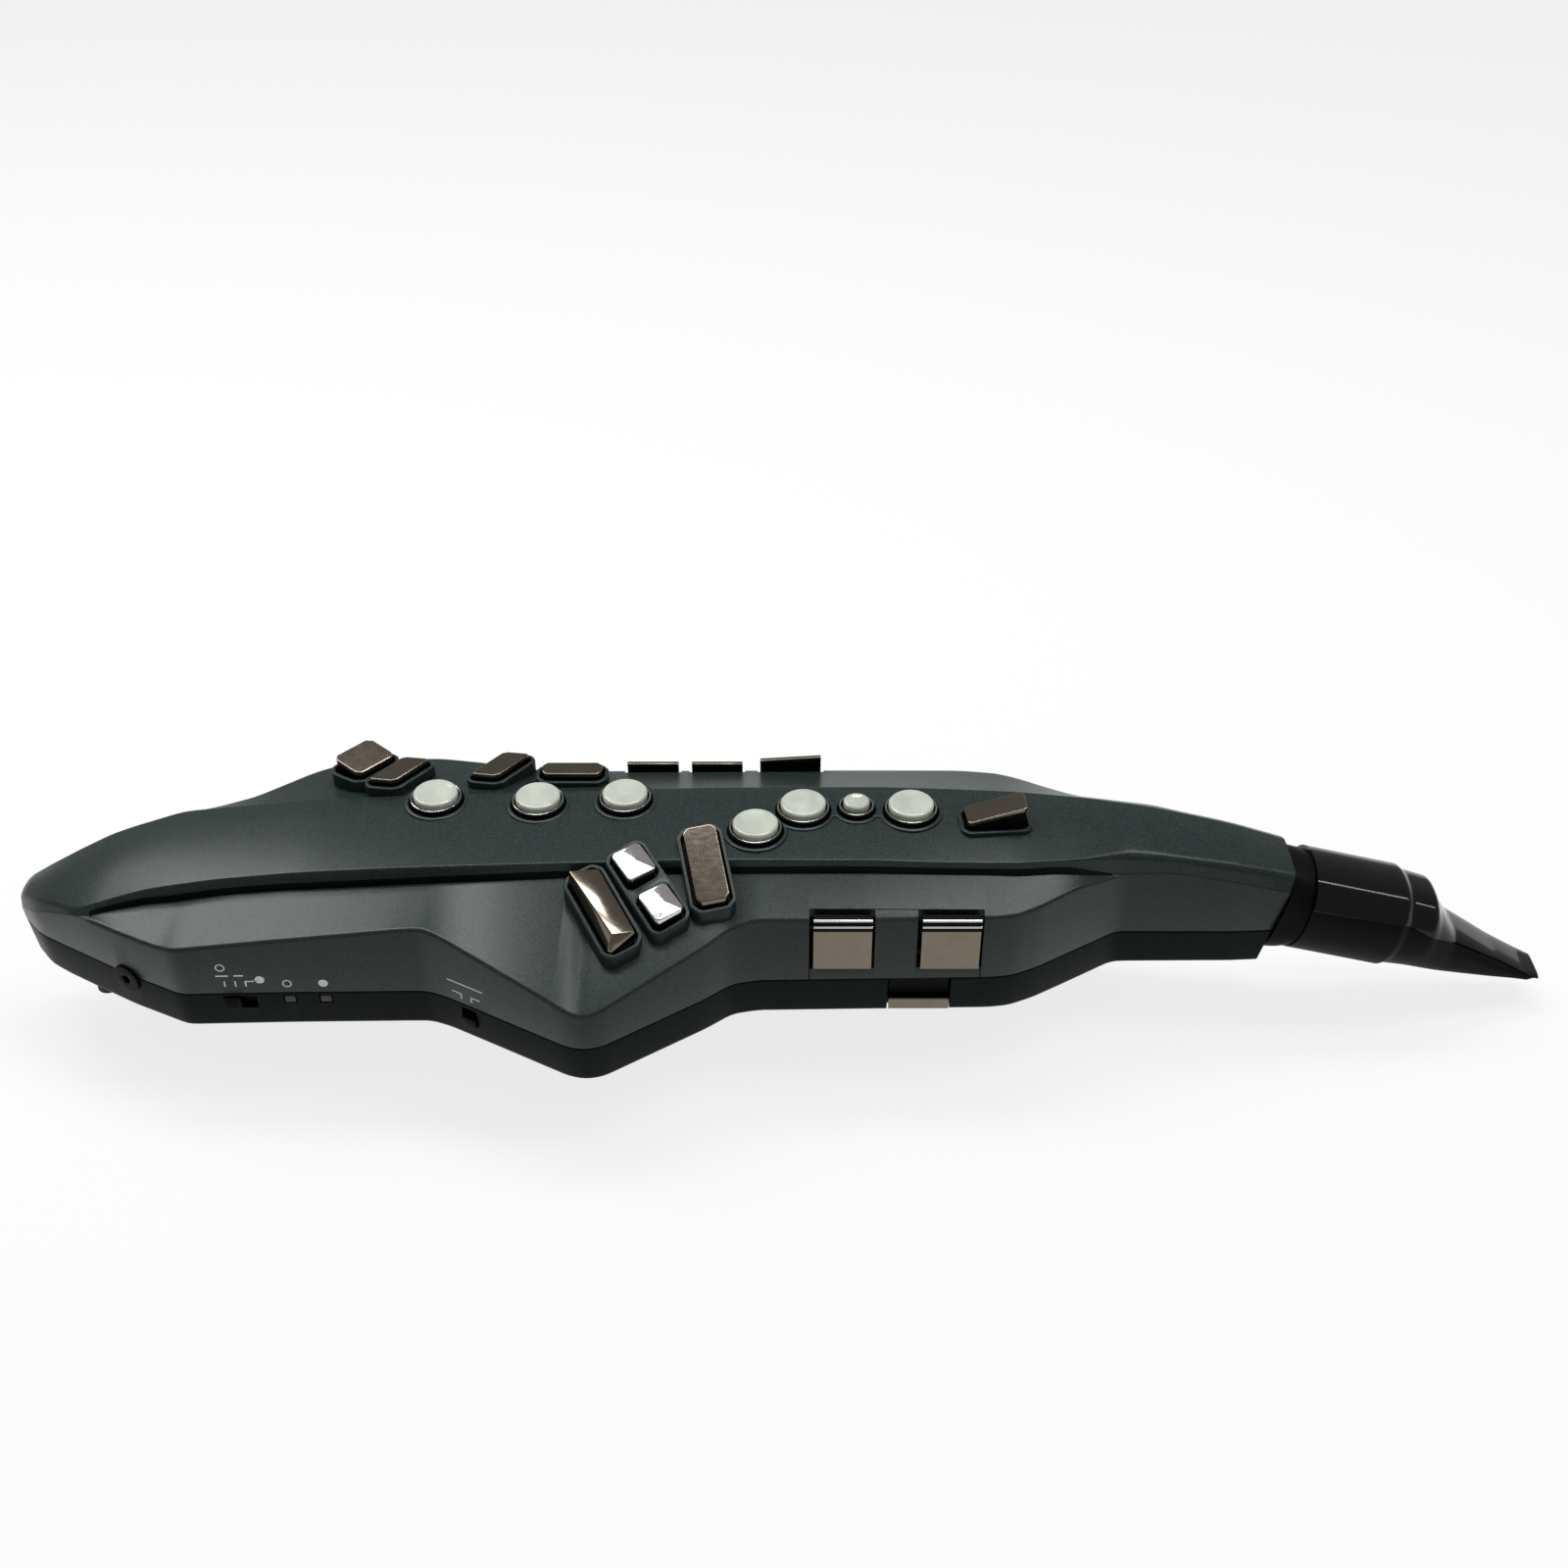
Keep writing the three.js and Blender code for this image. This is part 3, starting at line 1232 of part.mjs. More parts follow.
// Main board on bosses of the lower shell.
const mainBoardFoot = aboveBase(0.16);
const mainBoardShares = [[0.44, -0.19], [0.82, -0.1], [0.82, 0.46], [0.44, 0.56]];
const mainBoardOutline = mainBoardShares.map(([along, across]) => [alongBody(along), acrossBody(across)]);
const bossRadius = 2.6;
const bossShares = [[0.455, -0.1], [0.455, 0.48], [0.8, -0.02], [0.8, 0.38]];
addPiece(
  "main_board",
  prism(mainBoardOutline, level(mainBoardFoot), level(mainBoardFoot + boardThickness)),
  boardGreen,
);
for (const [along, across] of bossShares) {
  const boss = post(alongBody(along), acrossBody(across), bellyZ + caseWall / 2, mainBoardFoot - seamGap, bossRadius, bossSides);
  lowerShell = lowerShell.add(boss);
}

// Key board on posts of the upper shell.
addPiece(
  "key_switch_board",
  prism(keyBoardOutline, level(keyBoardFoot), level(keyBoardTop)),
  boardGreen,
);
for (const shares of keyBoardPostShares) upperShell = upperShell.add(keyBoardPost(shares));

// Collar: a cone from the neck's soft section to the round barrel, with a spigot for the mouthpiece.
function ringPoints(halfWidth, top, bottom, squareness) {
  const [middle, half] = [(top + bottom) / 2, (top - bottom) / 2];
  const bulge = (value) => Math.sign(value) * Math.abs(value) ** (2 / squareness);
  return Array.from({ length: roundSides }, (unused, i) => {
    const angle = ((i + ringTurnShare) / roundSides) * 2 * Math.PI;
    return [halfWidth * bulge(Math.cos(angle)), middle + half * bulge(Math.sin(angle))];
  });
}
const ringTurnShare = 0.5;
const collarShares = [[0, 0.8, 0.97, -1.07, 3], [0.55, 0.86, 0.97, -1.03, 2.6], [1, 0.97, 0.97, -0.97, 2]];
const spigotLength = 12;
const collarBore = 9.4;
function alongNeck(profile) {
  return solidOf(turned(profile, roundSides).rotateY(Math.PI / 2));
}
const collarCone = solidOf(
  lofted(
    collarShares.map(([along, halfWidth, top, bottom, squareness]) => ({
      x: partGap + along * (collarLength - partGap),
      points: ringPoints(halfWidth * barrelRadius, top * barrelRadius, bottom * barrelRadius, squareness),
    })),
  ),
);
const collarEnd = collarLength + spigotLength;
addPiece(
  "neck_collar",
  collarCone
    .add(alongNeck([[0, collarLength / 2], [boreRadius - partGap, collarLength / 2], [boreRadius - partGap, collarEnd], [0, collarEnd]]))
    .subtract(alongNeck([[0, -cutReach], [collarBore, -cutReach], [collarBore, collarEnd + cutReach], [0, collarEnd + cutReach]])),
  satinBlack,
  mouthpieceGroup,
);

// Mouthpiece: a barrel, a step, and a beak with a window that the reed plate closes from below.
const tipDropShare = 0.512;
const tipAlong =
  (overallLength / 2 - neckPoint.x + tipDropShare * barrelRadius * Math.sin(mouthpieceTilt)) /
  Math.cos(mouthpieceTilt);
const barrelStart = collarLength + partGap;
const mouthpieceShares = [
  [0.41, 1, 1, -1, 2], [0.415, 0.93, 0.93, -0.93, 2], [0.52, 0.9, 0.88, -0.91, 2],
  [0.555, 0.83, 0.66, -0.87, 2.2], [0.63, 0.72, 0.19, -0.82, 2.6], [0.82, 0.56, -0.22, -0.74, 2.8],
  [0.945, 0.46, -0.45, -0.66, 3], [1, 0.36, -0.512, -0.6, 3],
];
const mouthpieceSkin = solidOf(
  lofted([
    { x: barrelStart, points: ringPoints(barrelRadius, barrelRadius, -barrelRadius, 2) },
    ...mouthpieceShares.map(([along, halfWidth, top, bottom, squareness]) => ({
      x: along * tipAlong,
      points: ringPoints(halfWidth * barrelRadius, top * barrelRadius, bottom * barrelRadius, squareness),
    })),
  ]),
);
const tableStartShare = 0.425;
const tableHighShare = -0.72;
const tableLowShare = -0.545;
const tableAt = (x) => {
  const share = (x / tipAlong - tableStartShare) / (1 - tableStartShare);
  return barrelRadius * (tableHighShare + (tableLowShare - tableHighShare) * share);
};
const tableStart = tableStartShare * tipAlong;
const tableCut = solidOf(
  sideProfile(
    [
      [tableStart, tableAt(tableStart)],
      [tableStart, -cutReach],
      [tipAlong + cutReach, -cutReach],
      [tipAlong + cutReach, tableAt(tipAlong + cutReach)],
    ],
    -cutReach,
    cutReach,
  ),
);
const boreEndShare = 0.46;
const boreEnd = boreEndShare * tipAlong;
const airwayShares = [[0.43, -0.35], [0.93, -0.5], [0.93, -1], [0.43, -1]];
const airwayHalfShare = 0.25;
const airway = solidOf(
  sideProfile(
    airwayShares.map(([along, height]) => [along * tipAlong, height * barrelRadius]),
    -airwayHalfShare * barrelRadius,
    airwayHalfShare * barrelRadius,
  ),
);
addPiece(
  "mouthpiece",
  mouthpieceSkin
    .subtract(tableCut)
    .subtract(alongNeck([[0, -cutReach], [boreRadius, -cutReach], [boreRadius, boreEnd], [0, boreEnd]]))
    .subtract(airway),
  glossBlack,
  mouthpieceGroup,
);
const reedShares = [[0.43, 0.48], [0.96, 0.42], [1, 0.3]];
const reedHeel = 2.6;
const reedTip = 0.6;
const reedOutline = [
  ...reedShares.map(([along, across]) => [along * tipAlong, -across * barrelRadius]),
  ...reedShares.map(([along, across]) => [along * tipAlong, across * barrelRadius]).reverse(),
];
const reedThickness = (x) => reedTip + (reedHeel - reedTip) * (1 - x / tipAlong);
addPiece(
  "reed_plate",
  prism(reedOutline, (x) => tableAt(x) - partGap - reedThickness(x), (x) => tableAt(x) - partGap),
  satinBlack,
  mouthpieceGroup,
);

// Breath sensor on a pillar in the neck, and its tube through the collar.
const sensorLength = 22;
const sensorSize = 10;
const tubeStart = -38;
const tubeEnd = 24;
const tubeRadius = 2.8;
const tubeBore = 1.5;
const sensorEnd = tubeStart - partGap;
addPiece(
  "breath_sensor",
  block(
    corner(sensorEnd - sensorLength, -sensorSize / 2, -sensorSize / 2),
    corner(sensorEnd, sensorSize / 2, sensorSize / 2),
  ),
  satinBlack,
  mouthpieceGroup,
);
addPiece(
  "breath_tube",
  alongNeck([
    [tubeBore, tubeStart],
    [tubeRadius, tubeStart],
    [tubeRadius, tubeEnd],
    [tubeBore, tubeEnd],
    [tubeBore, tubeStart],
  ]),
  clearTube,
  mouthpieceGroup,
);
const pillarShare = 0.885;
const pillarLength = 10;
const pillarX = alongBody(pillarShare);
const sensorSlope = (neckPoint.x - pillarX - pillarLength / 2) * Math.tan(mouthpieceTilt);
const pillarTop = neckPoint.z + sensorSlope - sensorSize / 2 / Math.cos(mouthpieceTilt) - seamGap;
lowerShell = lowerShell.add(
  block(
    corner(pillarX - pillarLength / 2, neckPoint.y - sensorSize / 2, bodyBase - bellyDrop / 2 + caseWall / 2),
    corner(pillarX + pillarLength / 2, neckPoint.y + sensorSize / 2, pillarTop),
  ),
);

lowerShell = lowerShell.subtract(beyondNeck);
addPiece("upper_case", upperShell, graphitePaint);
addPiece("lower_case", lowerShell, graphitePaint);

export default instrument;
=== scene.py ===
import math

import bmesh
import bpy
import numpy as np
from mathutils import Matrix, Vector


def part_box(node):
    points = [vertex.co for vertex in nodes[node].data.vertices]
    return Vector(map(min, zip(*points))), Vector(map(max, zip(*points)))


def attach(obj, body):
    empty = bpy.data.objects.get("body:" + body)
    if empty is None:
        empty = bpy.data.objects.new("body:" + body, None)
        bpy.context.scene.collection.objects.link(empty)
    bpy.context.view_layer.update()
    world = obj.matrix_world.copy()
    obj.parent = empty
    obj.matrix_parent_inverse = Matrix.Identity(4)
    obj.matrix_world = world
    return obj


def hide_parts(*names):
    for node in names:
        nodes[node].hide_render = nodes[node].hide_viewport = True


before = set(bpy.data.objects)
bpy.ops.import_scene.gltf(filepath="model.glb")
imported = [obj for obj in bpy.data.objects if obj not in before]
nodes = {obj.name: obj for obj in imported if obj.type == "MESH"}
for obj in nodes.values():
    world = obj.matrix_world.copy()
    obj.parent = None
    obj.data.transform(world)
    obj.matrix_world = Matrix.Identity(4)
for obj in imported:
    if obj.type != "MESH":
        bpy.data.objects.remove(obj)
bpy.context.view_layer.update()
scene = bpy.context.scene
MM = 0.001

# ---- Studio ----
# A pale table top under the instrument, three soft lamps high behind it, a thin tube above the mouthpiece and
# a weak fill on the player's left. The camera stands on the left side and looks 37 degrees down.


def linear(hex_colour):
    """A colour as it is written in sRGB hex, as the linear values that a shader takes."""
    channels = [int(hex_colour[i:i + 2], 16) / 255 for i in (1, 3, 5)]
    return [c / 12.92 if c <= 0.04045 else ((c + 0.055) / 1.055) ** 2.4 for c in channels] + [1.0]


def add_node(tree, kind, settings=None, links=None):
    """Adds a node, sets its properties or sockets by name, and links sockets from other nodes."""
    node = tree.nodes.new(kind)
    for key, value in (settings or {}).items():
        if isinstance(key, str) and hasattr(node, key):
            setattr(node, key, value)
        else:
            node.inputs[key].default_value = value
    for key, source in (links or {}).items():
        tree.links.new(source, node.inputs[key])
    return node


def new_material(name):
    """An empty node material with its shader, ready for settings."""
    material = bpy.data.materials.new(name)
    material.use_nodes = True
    tree = material.node_tree
    shader = next(n for n in tree.nodes if n.type == "BSDF_PRINCIPLED")
    return material, tree, shader


# The camera, in metres from the frame's origin, with its lens and film width in millimetres.
CAMERA_PLACE = (-0.002113, -0.535313, 0.512073)
LOOK_DOWN = 37
LENS, FILM_WIDTH = 43.875, 36
camera_data = bpy.data.cameras.new("camera")
camera_data.lens = LENS
camera_data.sensor_width = FILM_WIDTH
camera_data.clip_start = 0.01
camera = bpy.data.objects.new("camera", camera_data)
camera.location = CAMERA_PLACE
camera.rotation_euler = (math.radians(90 - LOOK_DOWN), 0, 0)
scene.collection.objects.link(camera)
scene.camera = camera
scene.view_settings.view_transform = "Standard"

WORLD_LIGHT = 0.33

world = bpy.data.worlds.new("studio")
scene.world = world
world.use_nodes = True
background = world.node_tree.nodes["Background"]
background.inputs["Color"].default_value = (1, 1, 1, 1)
background.inputs["Strength"].default_value = WORLD_LIGHT

# Each lamp's place and size in metres, and its power in watts. It aims straight across the body at AIM.
AIM_Y, AIM_Z = 0, 0.05
for lamp_name, place, size, watts in (
    ("high_softbox", (-0.35, 0.42, 1.12), (1.3, 0.24), 13),
    ("right_softbox", (0.4, 0.13, 1.15), (0.7, 0.16), 4),
    ("far_softbox", (-0.85, 0.8, 1.05), (0.5, 0.3), 5),
    ("ceiling_tube", (1.0, 0.0, 1.2), (1.4, 0.04), 4.4),
    ("left_fill", (-0.1, -1.3, 0.75), (0.9, 0.7), 0.6),
):
    lamp_data = bpy.data.lights.new(lamp_name, "AREA")
    lamp_data.shape = "RECTANGLE"
    lamp_data.size, lamp_data.size_y = size
    lamp_data.energy = watts
    lamp = bpy.data.objects.new(lamp_name, lamp_data)
    lamp.location = place
    aim = Vector((place[0], AIM_Y, AIM_Z))
    lamp.rotation_euler = (aim - Vector(place)).to_track_quat("-Z", "Y").to_euler()
    scene.collection.objects.link(lamp)

# Matt white paint on the table top: it takes the object's shadow, and PLAIN_WHITE of what the camera, a metal
# or a glass sees of it is plain white.
PLAIN_WHITE = 0.8
TABLE_HALF, TABLE_Z = 6, -0.0005
floor_material, tree, shader = new_material("matt_white_table_top")
shader.inputs["Base Color"].default_value = linear("#d2d2d0")
shader.inputs["Roughness"].default_value = 0.9
light_path = add_node(tree, "ShaderNodeLightPath")
seen = add_node(tree, "ShaderNodeMath", {"operation": "MAXIMUM"},
                {0: light_path.outputs["Is Camera Ray"], 1: light_path.outputs["Is Glossy Ray"]})
seen = add_node(tree, "ShaderNodeMath", {"operation": "MAXIMUM"},
                {0: seen.outputs[0], 1: light_path.outputs["Is Transmission Ray"]})
share = add_node(tree, "ShaderNodeMath", {"operation": "MULTIPLY", 1: PLAIN_WHITE}, {0: seen.outputs[0]})
white = add_node(tree, "ShaderNodeEmission", {"Color": (1, 1, 1, 1), "Strength": 1.0})
mix = add_node(tree, "ShaderNodeMixShader", None,
               {0: share.outputs[0], 1: shader.outputs[0], 2: white.outputs[0]})
tree.links.new(mix.outputs[0], tree.nodes["Material Output"].inputs["Surface"])
floor_mesh = bpy.data.meshes.new("table_top")
floor_mesh.from_pydata([(x * TABLE_HALF, y * TABLE_HALF, TABLE_Z) for x, y in ((-1, -1), (1, -1), (1, 1), (-1, 1))],
                       [], [(0, 1, 2, 3)])
floor_mesh.materials.append(floor_material)
floor = bpy.data.objects.new("table_top", floor_mesh)
scene.collection.objects.link(floor)

# ---- Upper shell ----
# The top half of the body, moulded in ABS and painted in graphite metallic. A stepped spine runs along it,
# the left wing comes to an elbow under the little finger, and the right wing bulges out under the hand.
# Its skin follows lines along the body, then the raised rims are joined on and the wells are cut.
NOSE_X = -287.0
SEAM_Z = 42.0
SEAM_GAP = 0.3
SEAM_EASE = 0.3
UPPER_Z = SEAM_Z + SEAM_GAP / 2
LOWER_Z = SEAM_Z - SEAM_GAP / 2
CASE_WALL = 2.2
WING_ROUND = 1.8
SKIN = 2.6
NOSE_LEAN = 2.2
NECK_TILT = math.radians(14)
NECK_POINT = (180.46, 11.71, 49.0)
NECK = Matrix.Translation(NECK_POINT) @ Matrix.Rotation(NECK_TILT, 4, "Y")

# Below LEAN_TOP_Z and ahead of LEAN_FROM_X the nose leans in, in full at these heights and lengths past them.
LEAN_TOP_Z, LEAN_HEIGHT, LEAN_MOST = 45, 18, 1.3
LEAN_FROM_X, LEAN_LENGTH = -268, 19

# Where the skin's sections stand: close together at the nose, where it closes, then every 2 mm.
STATIONS = np.unique(np.concatenate([
    NOSE_X + np.array([0, 0.12, 0.35, 0.7, 1.2, 1.9, 2.8, 3.9, 5.2, 6.8, 8.8, 11.2]),
    np.arange(-273.5, 207, 2.0),
]))
FINE_STEP = 0.5
EASED_FROM_X = -279


def line(pairs, window=5.0):
    """A line along the body through (x, value) pairs, with its corners eased over a window, at each station."""
    at, value = zip(*pairs)
    fine = np.arange(-320, 250, FINE_STEP)
    count = int(window / FINE_STEP) | 1
    raw = np.interp(fine, at, value)
    eased = np.convolve(np.pad(raw, count // 2, mode="edge"), np.ones(count) / count, "valid")
    return np.where(STATIONS < EASED_FROM_X, np.interp(STATIONS, at, value), np.interp(STATIONS, fine, eased))


# The lines of the body. Near is the left side and far the right one. Y lines are walls and creases, Z lines
# are heights, drops are measured down from the spine and rounds are the radii of corners.
NEAR_WALL = line([(-287, 10), (-286.85, 8.3), (-286.3, 6.4), (-284.8, 4.2), (-277.3, -3.9), (-257.3, -15.3),
                  (-238.9, -25.8), (-217, -36.5), (-181.2, -35.5), (-136.9, -34.8), (-129.5, -34.8),
                  (-122, -37.8), (-77.2, -62.9), (-71.2, -64.25), (-65.2, -62.9), (-30.3, -39.1), (-20.8, -31.3),
                  (-11.3, -29.2), (72.4, -27.5), (80.1, -26.4), (89.2, -22.2), (120.8, -2.6), (165, -2.7),
                  (185, -1.5), (210, 0)])
NEAR_EDGE_Z = line([(-287, 44), (-286.6, 46), (-285.8, 47.5), (-284, 49), (-272, 55.5), (-257, 61), (-253, 61.9),
                    (-237.6, 62.1), (-222.5, 62.0), (-216.4, 63.2), (-176.6, 66.9), (-138.6, 70.8), (-127, 71.6),
                    (-103.3, 65.7), (-82.2, 60.6), (-71.2, 56.8), (-59, 59.8), (-36.1, 65.2), (-12.4, 70.6),
                    (7.9, 70.1), (80.7, 70.4), (102.6, 72.6), (118.4, 69.5), (139, 70), (165, 65), (182, 60),
                    (210, 52)])
NEAR_GROOVE = line([(-287, 10.3), (-286.85, 8.6), (-286.3, 6.7), (-284.8, 4.5), (-277.3, -3.6), (-257.3, -15.0),
                    (-253, -17.4), (-249.5, -14.6), (-232.4, -11), (-205.8, -10), (-177, -10.6), (82, -10.6),
                    (105, -7.2), (120, -2.4), (165, -2.4), (185, -1.2), (210, 0.3)])
NEAR_GROOVE_Z = line([(-287, 44.3), (-286.6, 46.3), (-285.8, 47.8), (-284, 49.3), (-272, 55.8), (-257, 61.3),
                      (-253, 61.2), (-223, 63.8), (-200, 67.1), (-181, 69.3), (-134, 72.2), (-65, 76), (-42, 77),
                      (26, 77.2), (72, 76.3), (95, 75.3), (105, 73.6), (118.4, 69.9), (139, 70.3), (165, 65.3),
                      (182, 60.3), (210, 52.3)])
SPINE_NEAR = line([(-287, 10.6), (-286.85, 9.2), (-286.3, 7.6), (-284.8, 5.6), (-277.3, -1.6), (-257.3, -13.8),
                   (-249, -12.8), (-232.4, -10), (-205.8, -8.8), (-177, -9.6), (82, -9.6), (105, -6.0),
                   (121, -1.9), (139, -1.7), (165, -0.9), (183.7, 1.4), (210, 3)])
SPINE_Z = line([(-287, 47), (-286.8, 49), (-286.2, 51), (-285, 52.8), (-283, 54.3), (-272, 60), (-256.8, 64.7),
                (-249, 67), (-232, 70), (-206, 73.1), (-177, 76.4), (-134, 78.5), (-30, 82.1), (33, 82.5),
                (82, 82.6), (110, 81), (135, 78), (165, 72), (182, 67), (210, 59)], 14)
NEAR_DROP = line([(-287, 0), (-272, 0.6), (-257, 1.8), (-245, 1.9), (-223, 1), (-190, 0.4), (-150, -0.2),
                  (-45, -0.4), (10, 0.4), (30, 0.5), (49, 1.4), (72, 1.9), (118, 1.7), (135, 0.8), (165, 0)])
FAR_CREASE = line([(-287, 11.4), (-286.85, 12.9), (-286.3, 14.4), (-284.8, 15.6), (-283, 16.2), (-271, 19.2),
                   (-255, 26.2), (-239, 30.4), (-229.4, 33.4), (-225, 34.1), (-141.6, 33.8), (34.4, 33.3),
                   (56.3, 32.2), (105, 29), (135, 27), (165, 24.5), (182, 23), (210, 20)])
FAR_CREASE_DROP = line([(-287, 0.3), (-229, 0.3), (-222, 0.75), (105, 0.75), (140, 0.4), (210, 0.3)])
FAR_WALL = line([(-287, 11.8), (-286.85, 13.4), (-286.3, 15), (-284.8, 16.4), (-283, 17), (-271, 20), (-255, 27),
                 (-239, 31.2), (-223, 35.4), (-203, 43), (-183, 56), (-170, 62), (-150, 63.9), (-135, 63.9),
                 (-115, 60.4), (-96, 56), (-90, 55.1), (65, 55.1), (79, 52), (87.5, 48), (96, 43), (108.6, 36),
                 (135, 32), (145, 30.2), (165, 28), (182, 26.4), (210, 24)], 7)
FAR_EDGE_DROP = line([(-287, 0.7), (-229, 0.7), (-203, 1.8), (-183, 2.2), (-150, 3.6), (-90, 5.4), (-30, 7.3),
                      (65, 7.7), (96, 5.5), (135, 2), (182, 1.2), (210, 1)])
SPINE_ROUND = line([(-287, 2.2), (-283, 4), (-262, 3.4), (-248, 0.9), (105, 0.9), (122, 4.5), (150, 7), (210, 8)])
FAR_ROUND = line([(-287, 1.8), (-283, 3.5), (-262, 4), (-235, 3), (-200, 2.4), (90, 2.4), (125, 5), (150, 7),
                  (210, 8)])
BELLY_MID = line([(-287, 10.8), (-257, 5.8), (-221, 6.4), (-169, 11.5), (210, 12.2)])
BELLY_HALF = line([(-287, 2), (-277, 7.5), (-257, 15.5), (-240, 21.5), (-214, 27.5), (76, 27.5), (117, 11),
                   (210, 6)])
BELLY_DROP = line([(-287, 0.4), (-257, 3), (-240, 5), (100, 5), (125, 1.5), (205, 0)])


def section_rows(corners):
    """One row of [y, z] corners for each station."""
    return np.stack([np.stack(np.broadcast_arrays(*c), -1) for c in corners], 1).astype(float)


def eased_corners(corners, rounds, steps):
    """Rows of points through corners given as arrays over the stations, each corner drawn as a short curve."""
    corner = section_rows(corners)
    rows = [corner[:, :1]]
    for k in range(1, corner.shape[1] - 1):
        back, ahead = corner[:, k - 1] - corner[:, k], corner[:, k + 1] - corner[:, k]
        back_length = np.linalg.norm(back, axis=1, keepdims=True)
        ahead_length = np.linalg.norm(ahead, axis=1, keepdims=True)
        back, ahead = back / back_length, ahead / ahead_length
        half = np.arccos(np.clip((back * ahead).sum(1, keepdims=True), -1, 0.999)) / 2
        reach = np.broadcast_to(rounds[k], (len(corner),)).reshape(-1, 1) / np.tan(half)
        reach = np.clip(reach, 0.02, 0.47 * np.minimum(back_length, ahead_length))
        for s in np.linspace(0, 1, steps[k]):
            rows.append((corner[:, k] + (1 - s) ** 2 * reach * back + s ** 2 * reach * ahead)[:, None])
    rows.append(corner[:, -1:])
    return np.concatenate(rows, 1)


def linked(name, mesh):
    piece = bpy.data.objects.new(name, mesh)
    scene.collection.objects.link(piece)
    return piece


def welded(name, mesh):
    """An object of a mesh whose doubled corners are joined and whose faces are turned outwards."""
    cleaner = bmesh.new()
    cleaner.from_mesh(mesh)
    bmesh.ops.remove_doubles(cleaner, verts=cleaner.verts, dist=1e-7)
    bmesh.ops.recalc_face_normals(cleaner, faces=cleaner.faces)
    cleaner.to_mesh(mesh)
    cleaner.free()
    return linked(name, mesh)


def solid(name, vertices, faces):
    """An object from corners in millimetres and faces."""
    mesh = bpy.data.meshes.new(name)
    mesh.from_pydata([tuple(v) for v in np.asarray(vertices, float) * MM], [], [tuple(map(int, f)) for f in faces])
    return welded(name, mesh)


def skin(name, rings):
    """A closed skin over rings of points, with a flat face at each end."""
    rings = np.asarray(rings, float)
    count, around = rings.shape[:2]
    faces = [(r * around + i, r * around + (i + 1) % around, (r + 1) * around + (i + 1) % around,
              (r + 1) * around + i) for r in range(count - 1) for i in range(around)]
    faces += [tuple(range(around))[::-1], tuple(range((count - 1) * around, count * around))]
    return solid(name, rings.reshape(-1, 3), faces)


def body_skin(name, rows, first=NOSE_X, last=999.0):
    """A skin over one row of [y, z] points for each station, whose lower part leans in at the nose."""
    inside = (STATIONS >= first) & (STATIONS <= last)
    rings = np.concatenate([np.broadcast_to(STATIONS[:, None, None], rows.shape[:2] + (1,)), rows], 2)[inside]
    lean = np.clip((LEAN_TOP_Z - rings[..., 2]) / LEAN_HEIGHT, 0, LEAN_MOST)
    lean = lean * np.clip((LEAN_FROM_X - rings[..., 0]) / LEAN_LENGTH, 0, 1)
    rings[..., 0] += NOSE_LEAN * lean
    return skin(name, rings)


def joined_cutters(name, pieces):
    """Several solids that don't touch each other, as one."""
    merged = bmesh.new()
    for piece in pieces:
        merged.from_mesh(piece.data)
        bpy.data.objects.remove(piece)
    mesh = bpy.data.meshes.new(name)
    merged.to_mesh(mesh)
    merged.free()
    return linked(name, mesh)


def combine(piece, other, operation, keep=False):
    """Joins a solid to a piece, cuts it out of the piece, or keeps what they share."""
    modifier = piece.modifiers.new("combine", "BOOLEAN")
    modifier.operation = operation
    modifier.solver = "EXACT"
    modifier.object = other
    mesh = bpy.data.meshes.new_from_object(piece.evaluated_get(bpy.context.evaluated_depsgraph_get()))
    piece.modifiers.clear()
    piece.data = mesh
    if not keep:
        bpy.data.objects.remove(other)


def box(name, low, high, turn=None):
    """A block between two corners, optionally moved by a matrix."""
    (a, b, c), (d, e, f) = low, high
    corners = [(x, y, z) for z in (c, f) for x, y in ((a, b), (d, b), (d, e), (a, e))]
    if turn is not None:
        corners = [tuple(turn @ Vector(p)) for p in corners]
    faces = [(0, 3, 2, 1), (4, 5, 6, 7), (0, 1, 5, 4), (1, 2, 6, 5), (2, 3, 7, 6), (3, 0, 4, 7)]
    return solid(name, corners, faces)


def turned(name, profile, place=(0, 0, 0), sides=64, turn=None):
    """A solid turned round an upright axis, from (radius, height) pairs that start and end on the axis."""
    vertices, faces, rows = [], [], []
    for radius, height in profile:
        if radius == 0:
            rows.append([len(vertices)] * sides)
            vertices.append((0, 0, height))
        else:
            rows.append(list(range(len(vertices), len(vertices) + sides)))
            turns = [2 * math.pi * i / sides for i in range(sides)]
            vertices += [(radius * math.cos(a), radius * math.sin(a), height) for a in turns]
    for low, high in zip(rows, rows[1:]):
        for i in range(sides):
            j = (i + 1) % sides
            face = list(dict.fromkeys((low[i], low[j], high[j], high[i])))
            if len(face) > 2:
                faces.append(face)
    vertices = [Vector(v) for v in vertices]
    if turn is not None:
        vertices = [turn @ v for v in vertices]
    return solid(name, [v + Vector(place) for v in vertices], faces)


def rod(name, radius, low, high, place=(0, 0, 0), sides=64, turn=None):
    """A round bar between two heights."""
    return turned(name, [(0, low), (radius, low), (radius, high), (0, high)], place, sides, turn)


